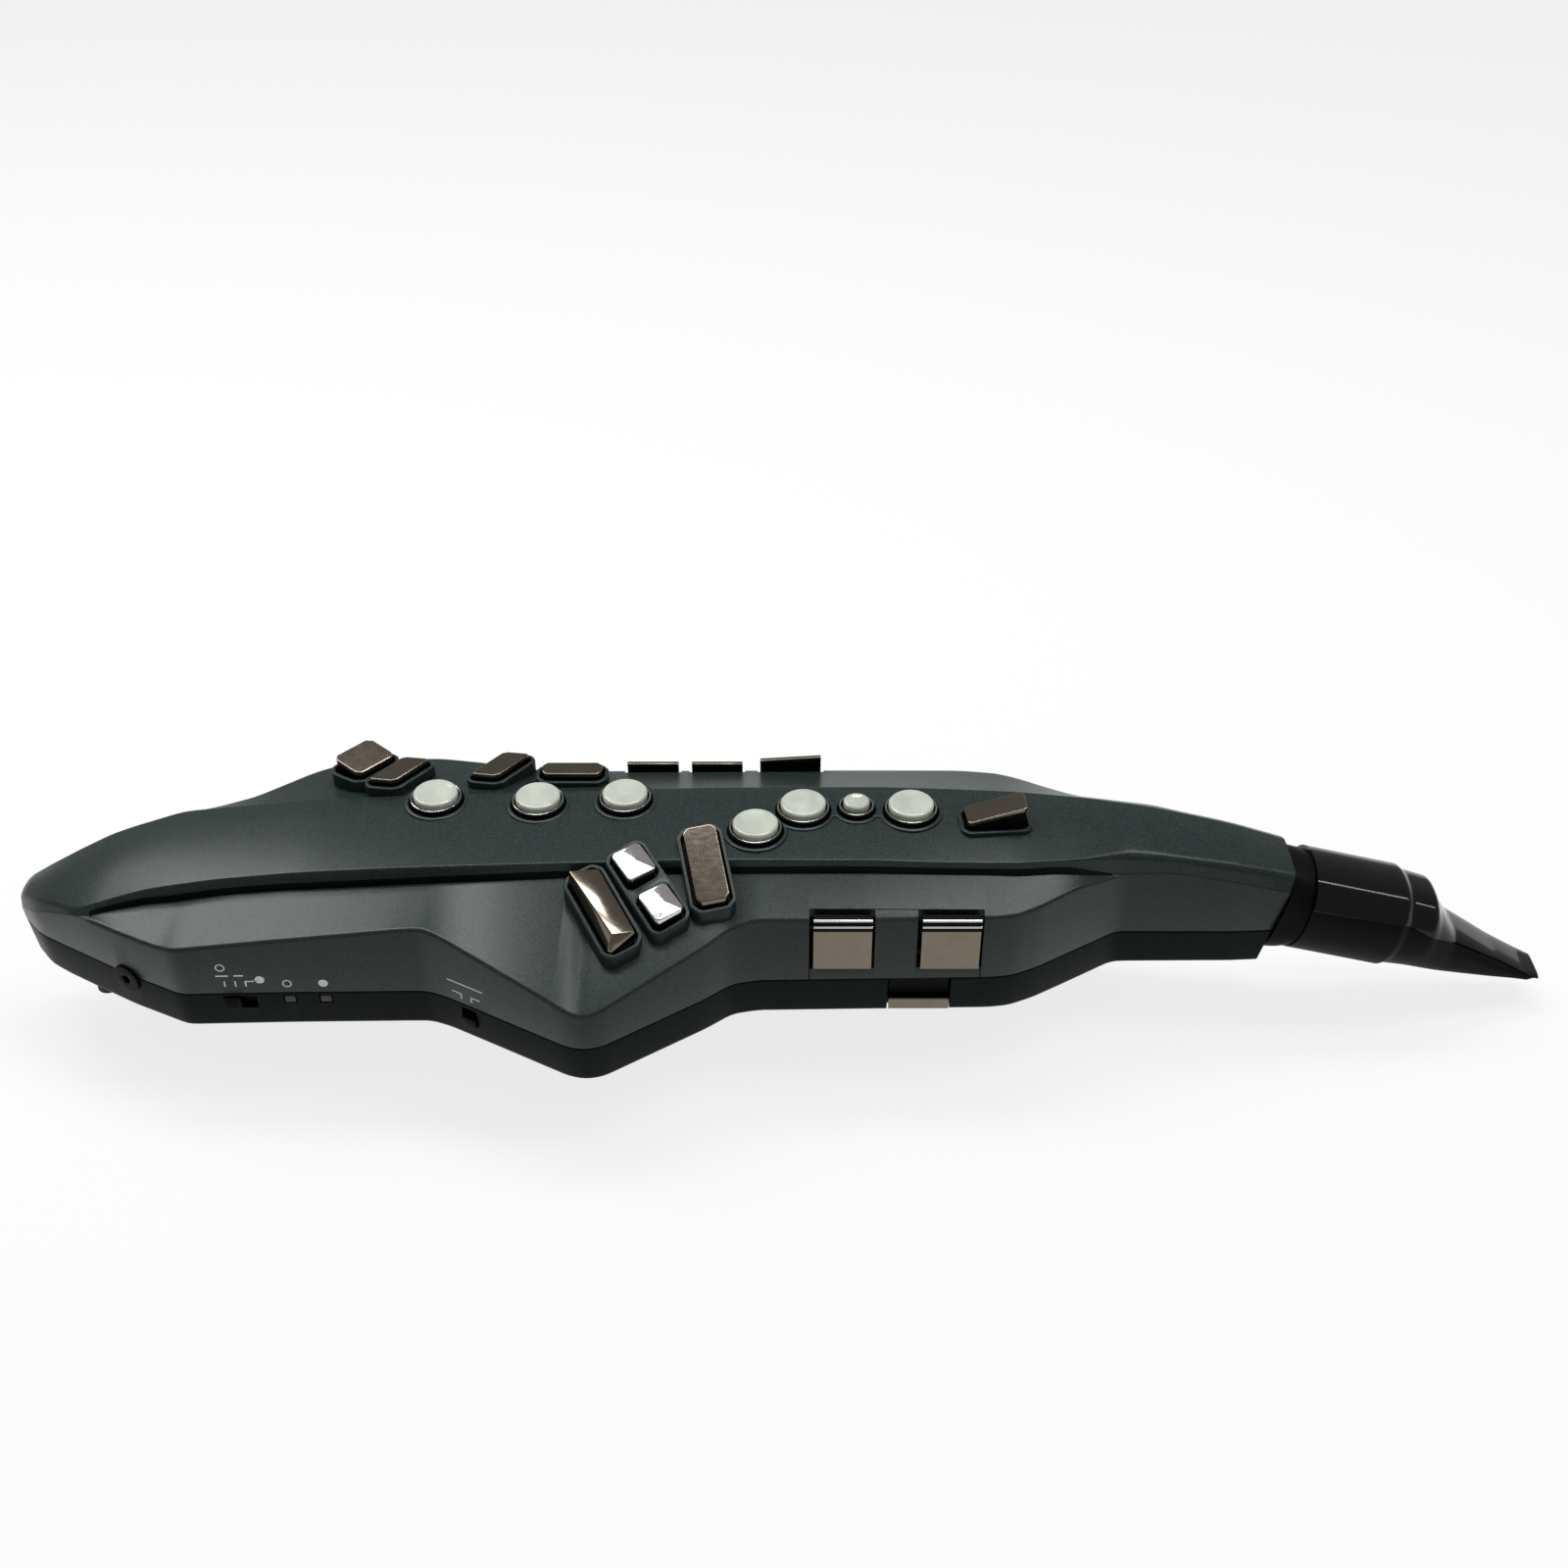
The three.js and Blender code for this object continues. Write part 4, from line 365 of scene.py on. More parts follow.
def rounded_outline(points, radius, steps=5):
    """A closed outline of [x, y] points with its corners rounded."""
    count = len(points)
    out = []
    for k in range(count):
        a, b, c = (Vector(points[(k + d) % count]) for d in (-1, 0, 1))
        back, ahead = a - b, c - b
        half = back.angle(ahead) / 2
        reach = min(radius / math.tan(half), 0.48 * back.length, 0.48 * ahead.length)
        back, ahead = back.normalized() * reach, ahead.normalized() * reach
        for s in np.linspace(0, 1, steps):
            out.append(tuple(b + back * (1 - s) ** 2 + ahead * s ** 2))
    return out


def offset(outline, distance):
    """Moves each side of an outline outwards by a distance."""
    out = []
    count = len(outline)
    for k in range(count):
        a, b, c = (Vector(outline[(k + d) % count]) for d in (-1, 0, 1))
        before, after = (b - a).normalized(), (c - b).normalized()
        reach = distance / (1 + before.dot(after))
        out.append((b.x + (before.y + after.y) * reach, b.y - (before.x + after.x) * reach))
    return out


HOLDING = 0.15


def prism(name, outline, bottom, top, edge=0.0, steps=5, inner=0):
    """An upright prism whose ends follow functions of x and y, with a round edge and inner rings at its top.
    A ring HOLDING inside the edge keeps its shading off the flat top."""
    levels = [(0, bottom, 0.0)]
    for s in np.linspace(0, math.pi / 2, steps) if edge else [0]:
        levels.append((edge * (1 - math.cos(s)), top, edge * (math.sin(s) - 1)))
    if edge:
        levels.append((edge + HOLDING, top, 0.0))
    rings = []
    for inwards, surface, rise in levels:
        ring = offset(outline, -inwards) if inwards else outline
        rings.append([(x, y, surface(x, y) + rise) for x, y in ring])
    middle = np.mean(ring, axis=0)
    for k in range(1, inner + 1):
        ring_in = [middle + (np.array(p) - middle) * (1 - 0.96 * k / inner) for p in ring]
        rings.append([(x, y, top(x, y)) for x, y in ring_in])
    return skin(name, rings)


def rectangle(place, length, width, cut=0.0, lean=0.0):
    """A rectangle or a leaning one with cut corners about a place (x, y, angle in degrees), anticlockwise."""
    a, b = length / 2, width / 2
    corners = [(a - cut, -b), (a, -b + cut), (a, b - cut), (a - cut, b), (-a + cut, b), (-a, b - cut),
               (-a, -b + cut), (-a + cut, -b)] if cut else [(a, -b), (a, b), (-a, b), (-a, -b)]
    c, s = math.cos(math.radians(place[2])), math.sin(math.radians(place[2]))
    corners = [(x - lean * y, y) for x, y in corners]
    return [(place[0] + c * x - s * y, place[1] + s * x + c * y) for x, y in corners]


def at_station(values, x):
    return float(np.interp(x, STATIONS, values))


def flat(z):
    return lambda x, y: z


def shifted(surface, rise):
    return lambda x, y: surface(x, y) + rise


# Sections from the near seam over the top to the far seam: the corners, the radius of each, and how many
# points draw it.
upper_rows = eased_corners(
    [(NEAR_WALL + SEAM_EASE, UPPER_Z), (NEAR_WALL, UPPER_Z + SEAM_EASE), (NEAR_WALL, NEAR_EDGE_Z),
     (NEAR_GROOVE, NEAR_GROOVE_Z), (SPINE_NEAR, SPINE_Z - NEAR_DROP),
     ((SPINE_NEAR + FAR_CREASE) / 2, SPINE_Z + 0.6),
     (FAR_CREASE - 0.4, SPINE_Z), (FAR_CREASE + 0.3, SPINE_Z - FAR_CREASE_DROP),
     (FAR_WALL, SPINE_Z - FAR_CREASE_DROP - FAR_EDGE_DROP), (FAR_WALL, UPPER_Z + SEAM_EASE),
     (FAR_WALL - SEAM_EASE, UPPER_Z)],
    [0, 0.05, WING_ROUND, 0.7, SPINE_ROUND, 400, 0.4, 0.4, FAR_ROUND, 0.05, 0],
    [0, 2, 9, 4, 9, 9, 3, 3, 9, 2, 0],
)
hollow_rows = eased_corners(
    [(NEAR_WALL + CASE_WALL, SEAM_Z - 20), (NEAR_WALL + CASE_WALL, NEAR_EDGE_Z - 2.8),
     (NEAR_GROOVE + CASE_WALL, NEAR_GROOVE_Z - SKIN), (SPINE_NEAR + SKIN, SPINE_Z - NEAR_DROP - SKIN),
     (FAR_CREASE - 0.4, SPINE_Z - SKIN), (FAR_WALL - CASE_WALL, SPINE_Z - FAR_CREASE_DROP - FAR_EDGE_DROP - 3),
     (FAR_WALL - CASE_WALL, SEAM_Z - 20)],
    [0, 1.5, 0.5, SPINE_ROUND, 1, 2, 0], [0, 3, 2, 4, 2, 4, 0],
)

# The keys that stand in wells of this shell, for the wells and for the keys' own sections. A round key is its
# centre and the radius of its cup.
ROUND_KEYS = {"1": (-131.4, 28.6, 9.8), "2": (-93.0, 25.1, 9.8), "3": (-60.8, 25.6, 9.8), "4": (-12.4, 5.9, 9.8),
              "5": (4.9, 17.7, 9.8), "6": (44.3, 17.0, 9.8), "small": (24.4, 18.5, 6.7)}
JOINED_LIPS = [("4", "5"), ("5", "small"), ("small", "6")]
LIP_WAIST = 4.2
KEY_GAP = 0.6
PLATE_GAP = 1.1
RIM_WIDTH = 1.3
LIP_WIDTH = 1.3
LIP_RISE = 1.0
CLUSTER_Z, CLUSTER_Y, CLUSTER_SLOPE = 81.88, -10.45, 0.36
LEVER_RIM_Z, SIDE_RIM_Z = 84.0, 80.5
RIM_DEPTH = 9
WELL_DEPTH = 12


def cluster_rim(x, y):
    """The sloping plane of the little finger's rims."""
    return CLUSTER_Z + CLUSTER_SLOPE * (y - CLUSTER_Y)


# A plate: its place (x, y, angle), length, width, cut corners and lean, and the height of its rim.
PLATES = {
    "little_finger_key_ridged": ((-65.52, -28.98, -59.5), 31.5, 11.2, 1.8, 0, cluster_rim),
    "little_finger_key_small_upper": ((-55.22, -12.18, -57), 13.5, 11.4, 1.2, 0, cluster_rim),
    "little_finger_key_small_lower": ((-45.14, -27.70, -57), 13.5, 11.4, 1.2, 0, cluster_rim),
    "little_finger_key_flat": ((-29.66, -12.61, -78), 29.5, 12, 1.8, 0, cluster_rim),
    "front_lever_key": ((74.5, 11.39, 4.5), 21.4, 10.4, 1, 0, flat(LEVER_RIM_Z)),
    "right_side_key_tall": ((-161.32, 49.74, 47.5), 17.4, 12.2, 1.8, 0.2, flat(SIDE_RIM_Z)),
    "right_side_key_slanted_1": ((-147.4, 44.03, 51.5), 18, 8.9, 1.2, 0.6, flat(SIDE_RIM_Z)),
    "right_side_key_slanted_2": ((-109.4, 47.2, 51.5), 18, 8.9, 1.2, 0.6, flat(SIDE_RIM_Z)),
    "right_side_key_level": ((-82.1, 44.2, 0), 22.6, 7.4, 1.8, 0, flat(SIDE_RIM_Z)),
}
PAIR_RIM = ((-50.18, -19.94, -57), 32, 11.4, 1.8)
CORNER_ROUND = 1.2


def key_outline(name, grow):
    place, length, width, cut, lean, _ = PLATES[name]
    return rounded_outline(offset(rectangle(place, length, width, cut, lean), grow), CORNER_ROUND + grow)


def plate_well(name):
    rim = PLATES[name][5]
    return prism("well", key_outline(name, PLATE_GAP), shifted(rim, -WELL_DEPTH), shifted(rim, 20))


def lip_bridge(one, other):
    """The narrow waist of rim between two neighbouring round keys, as an outline."""
    (x0, y0, r0), (x1, y1, r1) = ROUND_KEYS[one], ROUND_KEYS[other]
    ahead = Vector((x1 - x0, y1 - y0))
    side = Vector((-ahead.y, ahead.x)).normalized()
    middle_line = []
    for s in np.linspace(0, 1, 13):
        reach = 0.75 * (r0 if s < 0.5 else r1)
        half = LIP_WAIST + (reach - LIP_WAIST) * (2 * s - 1) ** 2
        middle_line.append((Vector((x0, y0)) + ahead * float(s), side * float(half)))
    return [tuple(p - h) for p, h in middle_line] + [tuple(p + h) for p, h in reversed(middle_line)]


beyond_neck = box("beyond_neck", (0, -300, -300), (300, 300, 300), NECK)
upper = body_skin("upper_case_visual", upper_rows)
for name, (x, y, radius) in ROUND_KEYS.items():
    skin_z, outer = at_station(SPINE_Z, x), radius + KEY_GAP + LIP_WIDTH
    lip = turned("lip", [(0, skin_z - 5), (outer, skin_z - 5), (outer, skin_z + LIP_RISE - 0.5),
                         (outer - 0.15, skin_z + LIP_RISE - 0.15), (outer - 0.5, skin_z + LIP_RISE),
                         (0, skin_z + LIP_RISE)], (x, y, 0), 96)
    combine(upper, lip, "UNION")
for one, other in JOINED_LIPS:
    lip_z = at_station(SPINE_Z, (ROUND_KEYS[one][0] + ROUND_KEYS[other][0]) / 2) + LIP_RISE - 0.02
    combine(upper, prism("bridge", lip_bridge(one, other), flat(lip_z - 6), flat(lip_z), 0.4), "UNION")
for name, (*_, rim) in PLATES.items():
    outline = key_outline(name, PLATE_GAP + RIM_WIDTH)
    combine(upper, prism("rim", outline, shifted(rim, -RIM_DEPTH), rim, 0.5), "UNION")
pair = rounded_outline(offset(rectangle(*PAIR_RIM), PLATE_GAP + RIM_WIDTH), 3.6)
combine(upper, prism("rim", pair, shifted(cluster_rim, -RIM_DEPTH), cluster_rim, 0.5), "UNION")
combine(upper, body_skin("hollow", hollow_rows, -277, 999), "DIFFERENCE")
combine(upper, beyond_neck, "DIFFERENCE", keep=True)
wells = [rod("well", radius + KEY_GAP, 60, 100, (x, y, 0), 96) for x, y, radius in ROUND_KEYS.values()]
wells += [plate_well(name) for name in PLATES]
for well in wells:
    combine(upper, well, "DIFFERENCE")

# The notches of the edge keys and the palm keys, the panel that carries the palm keys and the socket's hole.
EDGE_KEYS = [(-62.2, -42.5), (-37.5, -18.0), (-11.25, 12.0)]
notches = [box("notch", (low - 1.0, 52.3, 51.57), (high + 1.0, 90, 110)) for low, high in EDGE_KEYS]
combine(upper, joined_cutters("notches", notches), "DIFFERENCE")
PANEL, PANEL_BACK, PANEL_GAP = (7.1, 68.2), -24.5, 0.35
panel = linked("panel", upper.data.copy())
panel_low, panel_high = PANEL
combine(panel, box("panel_region", (panel_low, -60, UPPER_Z), (panel_high, PANEL_BACK, 90)), "INTERSECT")
combine(upper, box("panel_cut", (panel_low - PANEL_GAP, -60, 20),
                   (panel_high + PANEL_GAP, PANEL_BACK + PANEL_GAP, 90)), "DIFFERENCE")
PALM_KEYS = [(8.3, 29.0), (46.6, 67.4)]
PALM_RAIL_Z = 47.5
palm_notches = [box("notch", (low - 1.5, -60, PALM_RAIL_Z), (high + 1.1, -24, 90)) for low, high in PALM_KEYS]
combine(panel, joined_cutters("palm_notches", palm_notches), "DIFFERENCE")
jack_hole = rod("jack_hole", 4.95, -12, 30, (-239.3, -25.3, 40.1), 48,
                Matrix.Rotation(math.radians(-27), 3, "Z") @ Matrix.Rotation(math.radians(90), 3, "X"))
combine(upper, jack_hole, "DIFFERENCE", keep=True)


def dress(piece, name, material, angle=30):
    """Names a finished piece, gives it its one material and smooth faces that break at sharp edges."""
    piece.name = piece.data.name = name
    piece.data.materials.clear()
    piece.data.materials.append(material)
    for polygon in piece.data.polygons:
        polygon.use_smooth = True
    piece.data.set_sharp_from_angle(angle=math.radians(angle))


def grain(tree, size_mm, detail=3, stretch=None, kind="ShaderNodeTexNoise"):
    """Noise whose grains are about a size in millimetres, as its value from 0 to 1."""
    vector = add_node(tree, "ShaderNodeTexCoord").outputs["Object"]
    if stretch:
        vector = add_node(tree, "ShaderNodeMapping", {"Scale": stretch}, {"Vector": vector}).outputs[0]
    noise = add_node(tree, kind, {"Scale": 1000 / size_mm}, {"Vector": vector})
    if kind == "ShaderNodeTexNoise":
        noise.inputs["Detail"].default_value = detail
        return noise.outputs["Fac"]
    return noise.outputs["Color"]


def ramp(tree, value, low, high, start=0.0, end=1.0):
    """A value between start and end spread between two numbers, or between two hex colours."""
    if isinstance(low, str):
        spread = ramp(tree, value, 0.0, 1.0, start, end)
        node = add_node(tree, "ShaderNodeMix", {"data_type": "RGBA"})
        node.inputs[6].default_value, node.inputs[7].default_value = linear(low), linear(high)
        tree.links.new(spread, node.inputs[0])
        return node.outputs[2]
    return add_node(tree, "ShaderNodeMapRange", {"From Min": start, "From Max": end, "To Min": low, "To Max": high},
                    {"Value": value}).outputs[0]


def bump(tree, shader, value, height_mm, strength=1.0):
    """Relief of a height in millimetres."""
    node = add_node(tree, "ShaderNodeBump", {"Strength": strength, "Distance": height_mm * MM}, {"Height": value})
    tree.links.new(node.outputs[0], shader.inputs["Normal"])


def lacquer(name, between, flakes, roughness, specular):
    """Metallic paint: dark lacquer with paler flakes, a slightly uneven gloss and a faint orange peel."""
    material, tree, shader = new_material(name)
    flake = grain(tree, 0.35, kind="ShaderNodeTexVoronoi")
    tree.links.new(ramp(tree, flake, between, flakes, 0.1, 0.9), shader.inputs["Base Color"])
    tree.links.new(ramp(tree, grain(tree, 0.8), roughness - 0.03, roughness + 0.03, 0.3, 0.7),
                   shader.inputs["Roughness"])
    shader.inputs["Metallic"].default_value = 0.12
    shader.inputs["Specular IOR Level"].default_value = specular
    bump(tree, shader, grain(tree, 0.5, 2), 0.006)
    return material


# Graphite metallic lacquer on ABS: dark blue-grey, with flakes that glint one by one and a faint unevenness
# from the spray gun. The flakes are drawn at 0.35 mm, coarser than real ones, so that they show.
graphite = lacquer("graphite_metallic_lacquer_on_abs", "#111817", "#283432", 0.3, 0.23)
dress(upper, "upper_case_visual", graphite)
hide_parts("upper_case")
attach(upper, "case")
dress(panel, "palm_key_panel_visual", graphite)
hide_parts("palm_key_panel")
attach(panel, "case")

# ---- Lower shell ----
# The bottom half of the body, in the same moulded and painted ABS. Its wall drops straight from the seam
# and turns under to a flat belly, which carries the thumb's pieces, the battery cover and the feet.
CHINE_Z, INNER_CHINE_Z, INNER_FLOOR_Z = 27, 29.4, 29.2
lower_rows = eased_corners(
    [(NEAR_WALL + SEAM_EASE, LOWER_Z), (NEAR_WALL, LOWER_Z - SEAM_EASE), (NEAR_WALL, CHINE_Z),
     (BELLY_MID - BELLY_HALF, CHINE_Z - BELLY_DROP), (BELLY_MID + BELLY_HALF, CHINE_Z - BELLY_DROP),
     (FAR_WALL, CHINE_Z),
     (FAR_WALL, LOWER_Z - SEAM_EASE), (FAR_WALL - SEAM_EASE, LOWER_Z)],
    [0, 0.05, 2.4, 3, 3, 2.4, 0.05, 0], [0, 2, 8, 4, 4, 8, 2, 0],
)
lower_hollow_rows = eased_corners(
    [(NEAR_WALL + CASE_WALL, SEAM_Z + 20), (NEAR_WALL + CASE_WALL, INNER_CHINE_Z),
     (BELLY_MID - BELLY_HALF, INNER_FLOOR_Z - BELLY_DROP), (BELLY_MID + BELLY_HALF, INNER_FLOOR_Z - BELLY_DROP),
     (FAR_WALL - CASE_WALL, INNER_CHINE_Z), (FAR_WALL - CASE_WALL, SEAM_Z + 20)],
    [0, 1.5, 2, 2, 1.5, 0], [0, 3, 2, 2, 3, 0],
)
lower = body_skin("lower_case_visual", lower_rows)
combine(lower, body_skin("hollow", lower_hollow_rows, -277, 999), "DIFFERENCE")
combine(lower, beyond_neck, "DIFFERENCE")
combine(lower, jack_hole, "DIFFERENCE")

# What is cut out of the wall and of the belly, for the pieces that later sections set into them. A belly
# plate is its middle, length and width, and the gap round it.
MIDLINE = 11.52
BELLY_SKIN_TOP = 24.35
POWER_SLOT = (-202.5, -190.5, 35.19, 41.04)
BITE_PLACE = Matrix.Translation((-113.8, -42.4, 0)) @ Matrix.Rotation(math.radians(-29.3), 4, "Z")
LOW_PALM = (35.76, 57.6)
LAMPS = (-178.8, -166.0)
SPEAKER_PLACE = (-220, 6.4)
SPEAKER_PITCH, SPEAKER_HALF_WIDTH, SPEAKER_HALF_LENGTH = 5.2, 1.1, 11
WALL_FROM_Y, WALL_TO_Y = -42, -30
BELOW_BELLY = 18
BELLY_PLATES = {"battery_cover": (-157.2, 59.55, 52.2, 0.35), "display_window": (-17.96, 27, 15, 0.35),
                "panel_button_1": (2.3, 6, 6, 0.5), "panel_button_2": (11.8, 6, 6, 0.5),
                "panel_button_3": (21.2, 6, 6, 0.5), "octave_key_up": (36.3, 14, 19, 0.5),
                "octave_key_down": (74.1, 14, 19, 0.5), "thumb_rest": (55.2, 15, 24, 0.35),
                "bend_rocker": (-103.9, 15, 18, 1.0)}
FEET = [(-256, -6.4), (-238.6, -12.8)]
SCREWS = [(-200, 24), (-200, -14), (-118, 34), (-118, -26), (-40, 30), (-40, -12), (88, 26), (88, -4), (-254, 10)]
cuts = [box("slot", (POWER_SLOT[0], WALL_FROM_Y, POWER_SLOT[2]), (POWER_SLOT[1], WALL_TO_Y, POWER_SLOT[3])),
        box("slot", (-3.4, -5, 32.96), (3.4, 5, 40.65), BITE_PLACE),
        box("recess", (LOW_PALM[0] - 0.5, -60, 20), (LOW_PALM[1] + 0.5, -22.07, 48)),
        box("arm_slot", (-72.31, 2.67, BELOW_BELLY), (-66.61, 20.37, BELLY_SKIN_TOP)),
        box("eye_slot", (-57.4, MIDLINE - 2.35, BELOW_BELLY), (-52.2, MIDLINE + 2.35, BELLY_SKIN_TOP))]
cuts += [box("lens_slot", (x - 2.4, WALL_FROM_Y, 37.05), (x + 2.4, WALL_TO_Y, 41.05)) for x in LAMPS]
for k in range(-2, 3):
    x, y = SPEAKER_PLACE[0] + k * SPEAKER_PITCH, SPEAKER_PLACE[1]
    cuts.append(box("speaker_slot", (x - SPEAKER_HALF_WIDTH, y - SPEAKER_HALF_LENGTH, 10),
                    (x + SPEAKER_HALF_WIDTH, y + SPEAKER_HALF_LENGTH, 25.5)))
cuts += [prism("plate_hole", rectangle((x, MIDLINE, 0), length + 2 * gap, width + 2 * gap, 1.8),
               flat(BELOW_BELLY), flat(BELLY_SKIN_TOP)) for x, length, width, gap in BELLY_PLATES.values()]
cuts += [rod("foot_hole", 4.55, 15, 27.8, (x, y, 0), 40) for x, y in FEET]
cuts += [rod("screw_hole", 3.2, 15, 23.1, (x, y, 0), 32) for x, y in SCREWS]
for cut in cuts:
    combine(lower, cut, "DIFFERENCE")
# The same lacquer over a rougher mould, with less gloss than on the upper shell and darker: painted shade, a shaded
# copy of the paint that keeps the lower walls and the belly as dark as they lie in shadow under the high lamps.
shaded_graphite = lacquer("graphite_lacquer_shaded_copy", "#090e0e", "#151d1c", 0.36, 0.08)
dress(lower, "lower_case_visual", shaded_graphite)
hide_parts("lower_case")
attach(lower, "case")

# ---- Round pearl keys ----
# Seven sprung keys for the fingertips. Each is a black moulded cup with a plated ring pressed on it and
# a dished disc of imitation mother-of-pearl glued in. The rings are turned by one rule from a radius.


def plastic(name, low, high, roughness, grain_mm, height_mm, specular=0.5):
    """Moulded plastic: two near shades, an uneven gloss and a fine texture from the mould."""
    material, tree, shader = new_material(name)
    shader.inputs["Specular IOR Level"].default_value = specular
    tree.links.new(ramp(tree, grain(tree, grain_mm * 12), low, high), shader.inputs["Base Color"])
    tree.links.new(ramp(tree, grain(tree, grain_mm * 5), roughness - 0.05, roughness + 0.05),
                   shader.inputs["Roughness"])
    bump(tree, shader, grain(tree, grain_mm), height_mm)
    return material


def plating(name, low, high, roughness, wave_mm, height_mm):
    """Plated metal: faint clouds, finger smears in the gloss and a slow ripple of the moulded core below."""
    material, tree, shader = new_material(name)
    shader.inputs["Metallic"].default_value = 1.0
    tree.links.new(ramp(tree, grain(tree, 6, 5), low, high), shader.inputs["Base Color"])
    tree.links.new(ramp(tree, grain(tree, 3.5, 2, (1, 2.5, 1)), roughness * 0.7, roughness * 1.4),
                   shader.inputs["Roughness"])
    bump(tree, shader, grain(tree, wave_mm, 1), height_mm, 0.6)
    return material


# Satin black ABS: a mould with a fine spark grain, so that it takes light softly and shows no streak.
satin_black = plastic("satin_black_moulded_abs", "#030404", "#070809", 0.45, 0.35, 0.004, 0.07)
# Dark nickel over a moulded core: a warm grey-brown mirror, a little wavy, dulled in places by fingers.
dark_nickel = plating("dark_nickel_plate_on_moulded_core", "#6c655a", "#7a7267", 0.13, 9, 0.02)
# Bright nickel, as on the rings: a paler mirror, which shows as a thin line of light round each key.
ring_nickel = plating("bright_nickel_plate_of_rings", "#b5b2ab", "#c6c3bc", 0.1, 9, 0.01)
# Bright chrome: nearly white, and so smooth that it mirrors the lamps with a hard edge. Painted highlight: the two
# small little-finger plates and the palm keys' beads take it in place of dark nickel, as bright as the lamps'
# reflections make them.
highlight_chrome = plating("paler_chrome_for_painted_highlights", "#c4c2bf", "#d6d5d3", 0.07, 7, 0.05)

# Imitation mother-of-pearl: cast acrylic with slow swirls.
pearl, tree, shader = new_material("cast_pearl_acrylic")
swirl = grain(tree, 7, 3, (1, 0.5, 1))
tree.links.new(ramp(tree, swirl, "#9ba096", "#afb4a9", 0.3, 0.7), shader.inputs["Base Color"])
tree.links.new(ramp(tree, grain(tree, 2), 0.16, 0.26), shader.inputs["Roughness"])
shader.inputs["Subsurface Weight"].default_value = 0.15
shader.inputs["Subsurface Radius"].default_value = (0.002, 0.002, 0.002)
shader.inputs["Coat Weight"].default_value = 0.3
bump(tree, shader, swirl, 0.02)


def new_tree(name, result, inputs):
    """An empty Geometry Nodes tree with its inputs, given by name and kind, and their identifiers."""
    group = bpy.data.node_groups.new(name, "GeometryNodeTree")
    group.interface.new_socket(result, in_out="OUTPUT", socket_type="NodeSocketGeometry")
    sockets = {label: group.interface.new_socket(label, in_out="INPUT", socket_type=f"NodeSocket{kind}").identifier
               for label, kind in inputs.items()}
    return group, sockets, add_node(group, "NodeGroupInput").outputs


def close_tree(group, geometry, material):
    """Ends a tree: its instances become a real mesh of one material."""
    real = add_node(group, "GeometryNodeRealizeInstances", None, {0: geometry})
    made = add_node(group, "GeometryNodeSetMaterial", None, {"Geometry": real.outputs[0], "Material": material})
    group.links.new(made.outputs[0], add_node(group, "NodeGroupOutput").inputs[0])


def ring_tree():
    """Node tree of a plated ring: a rounded bar bent round a circle."""
    group, sockets, given = new_tree("plated_ring", "Ring", {
        "Radius": "Float", "Bar Width": "Float", "Bar Height": "Float", "Edge": "Float", "Metal": "Material"})
    circle = add_node(group, "GeometryNodeCurvePrimitiveCircle", {"Resolution": 96}, {"Radius": given["Radius"]})
    bar = add_node(group, "GeometryNodeCurvePrimitiveQuadrilateral", None,
                   {"Width": given["Bar Width"], "Height": given["Bar Height"]})
    bar = add_node(group, "GeometryNodeFilletCurve", {"mode": "POLY", "Count": 3, "Limit Radius": True},
                   {"Curve": bar.outputs[0], "Radius": given["Edge"]})
    ring = add_node(group, "GeometryNodeCurveToMesh", None,
                    {"Curve": circle.outputs[0], "Profile Curve": bar.outputs[0]})
    close_tree(group, ring.outputs[0], given["Metal"])
    return group, sockets


def grown(name, group, sockets, values, place=(0, 0, 0), points=()):
    """A plain mesh made by a node tree from named values, moved to its place, with its faces turned outwards."""
    start = bpy.data.meshes.new(name)
    start.from_pydata([tuple(c * MM for c in p) for p in points], [], [])
    host = linked(name, start)
    modifier = host.modifiers.new(name, "NODES")
    modifier.node_group = group
    for label, value in values.items():
        modifier[sockets[label]] = value
    mesh = bpy.data.meshes.new_from_object(host.evaluated_get(bpy.context.evaluated_depsgraph_get()))
    bpy.data.objects.remove(host)
    mesh.transform(Matrix.Translation(Vector(place) * MM))
    return welded(name, mesh)


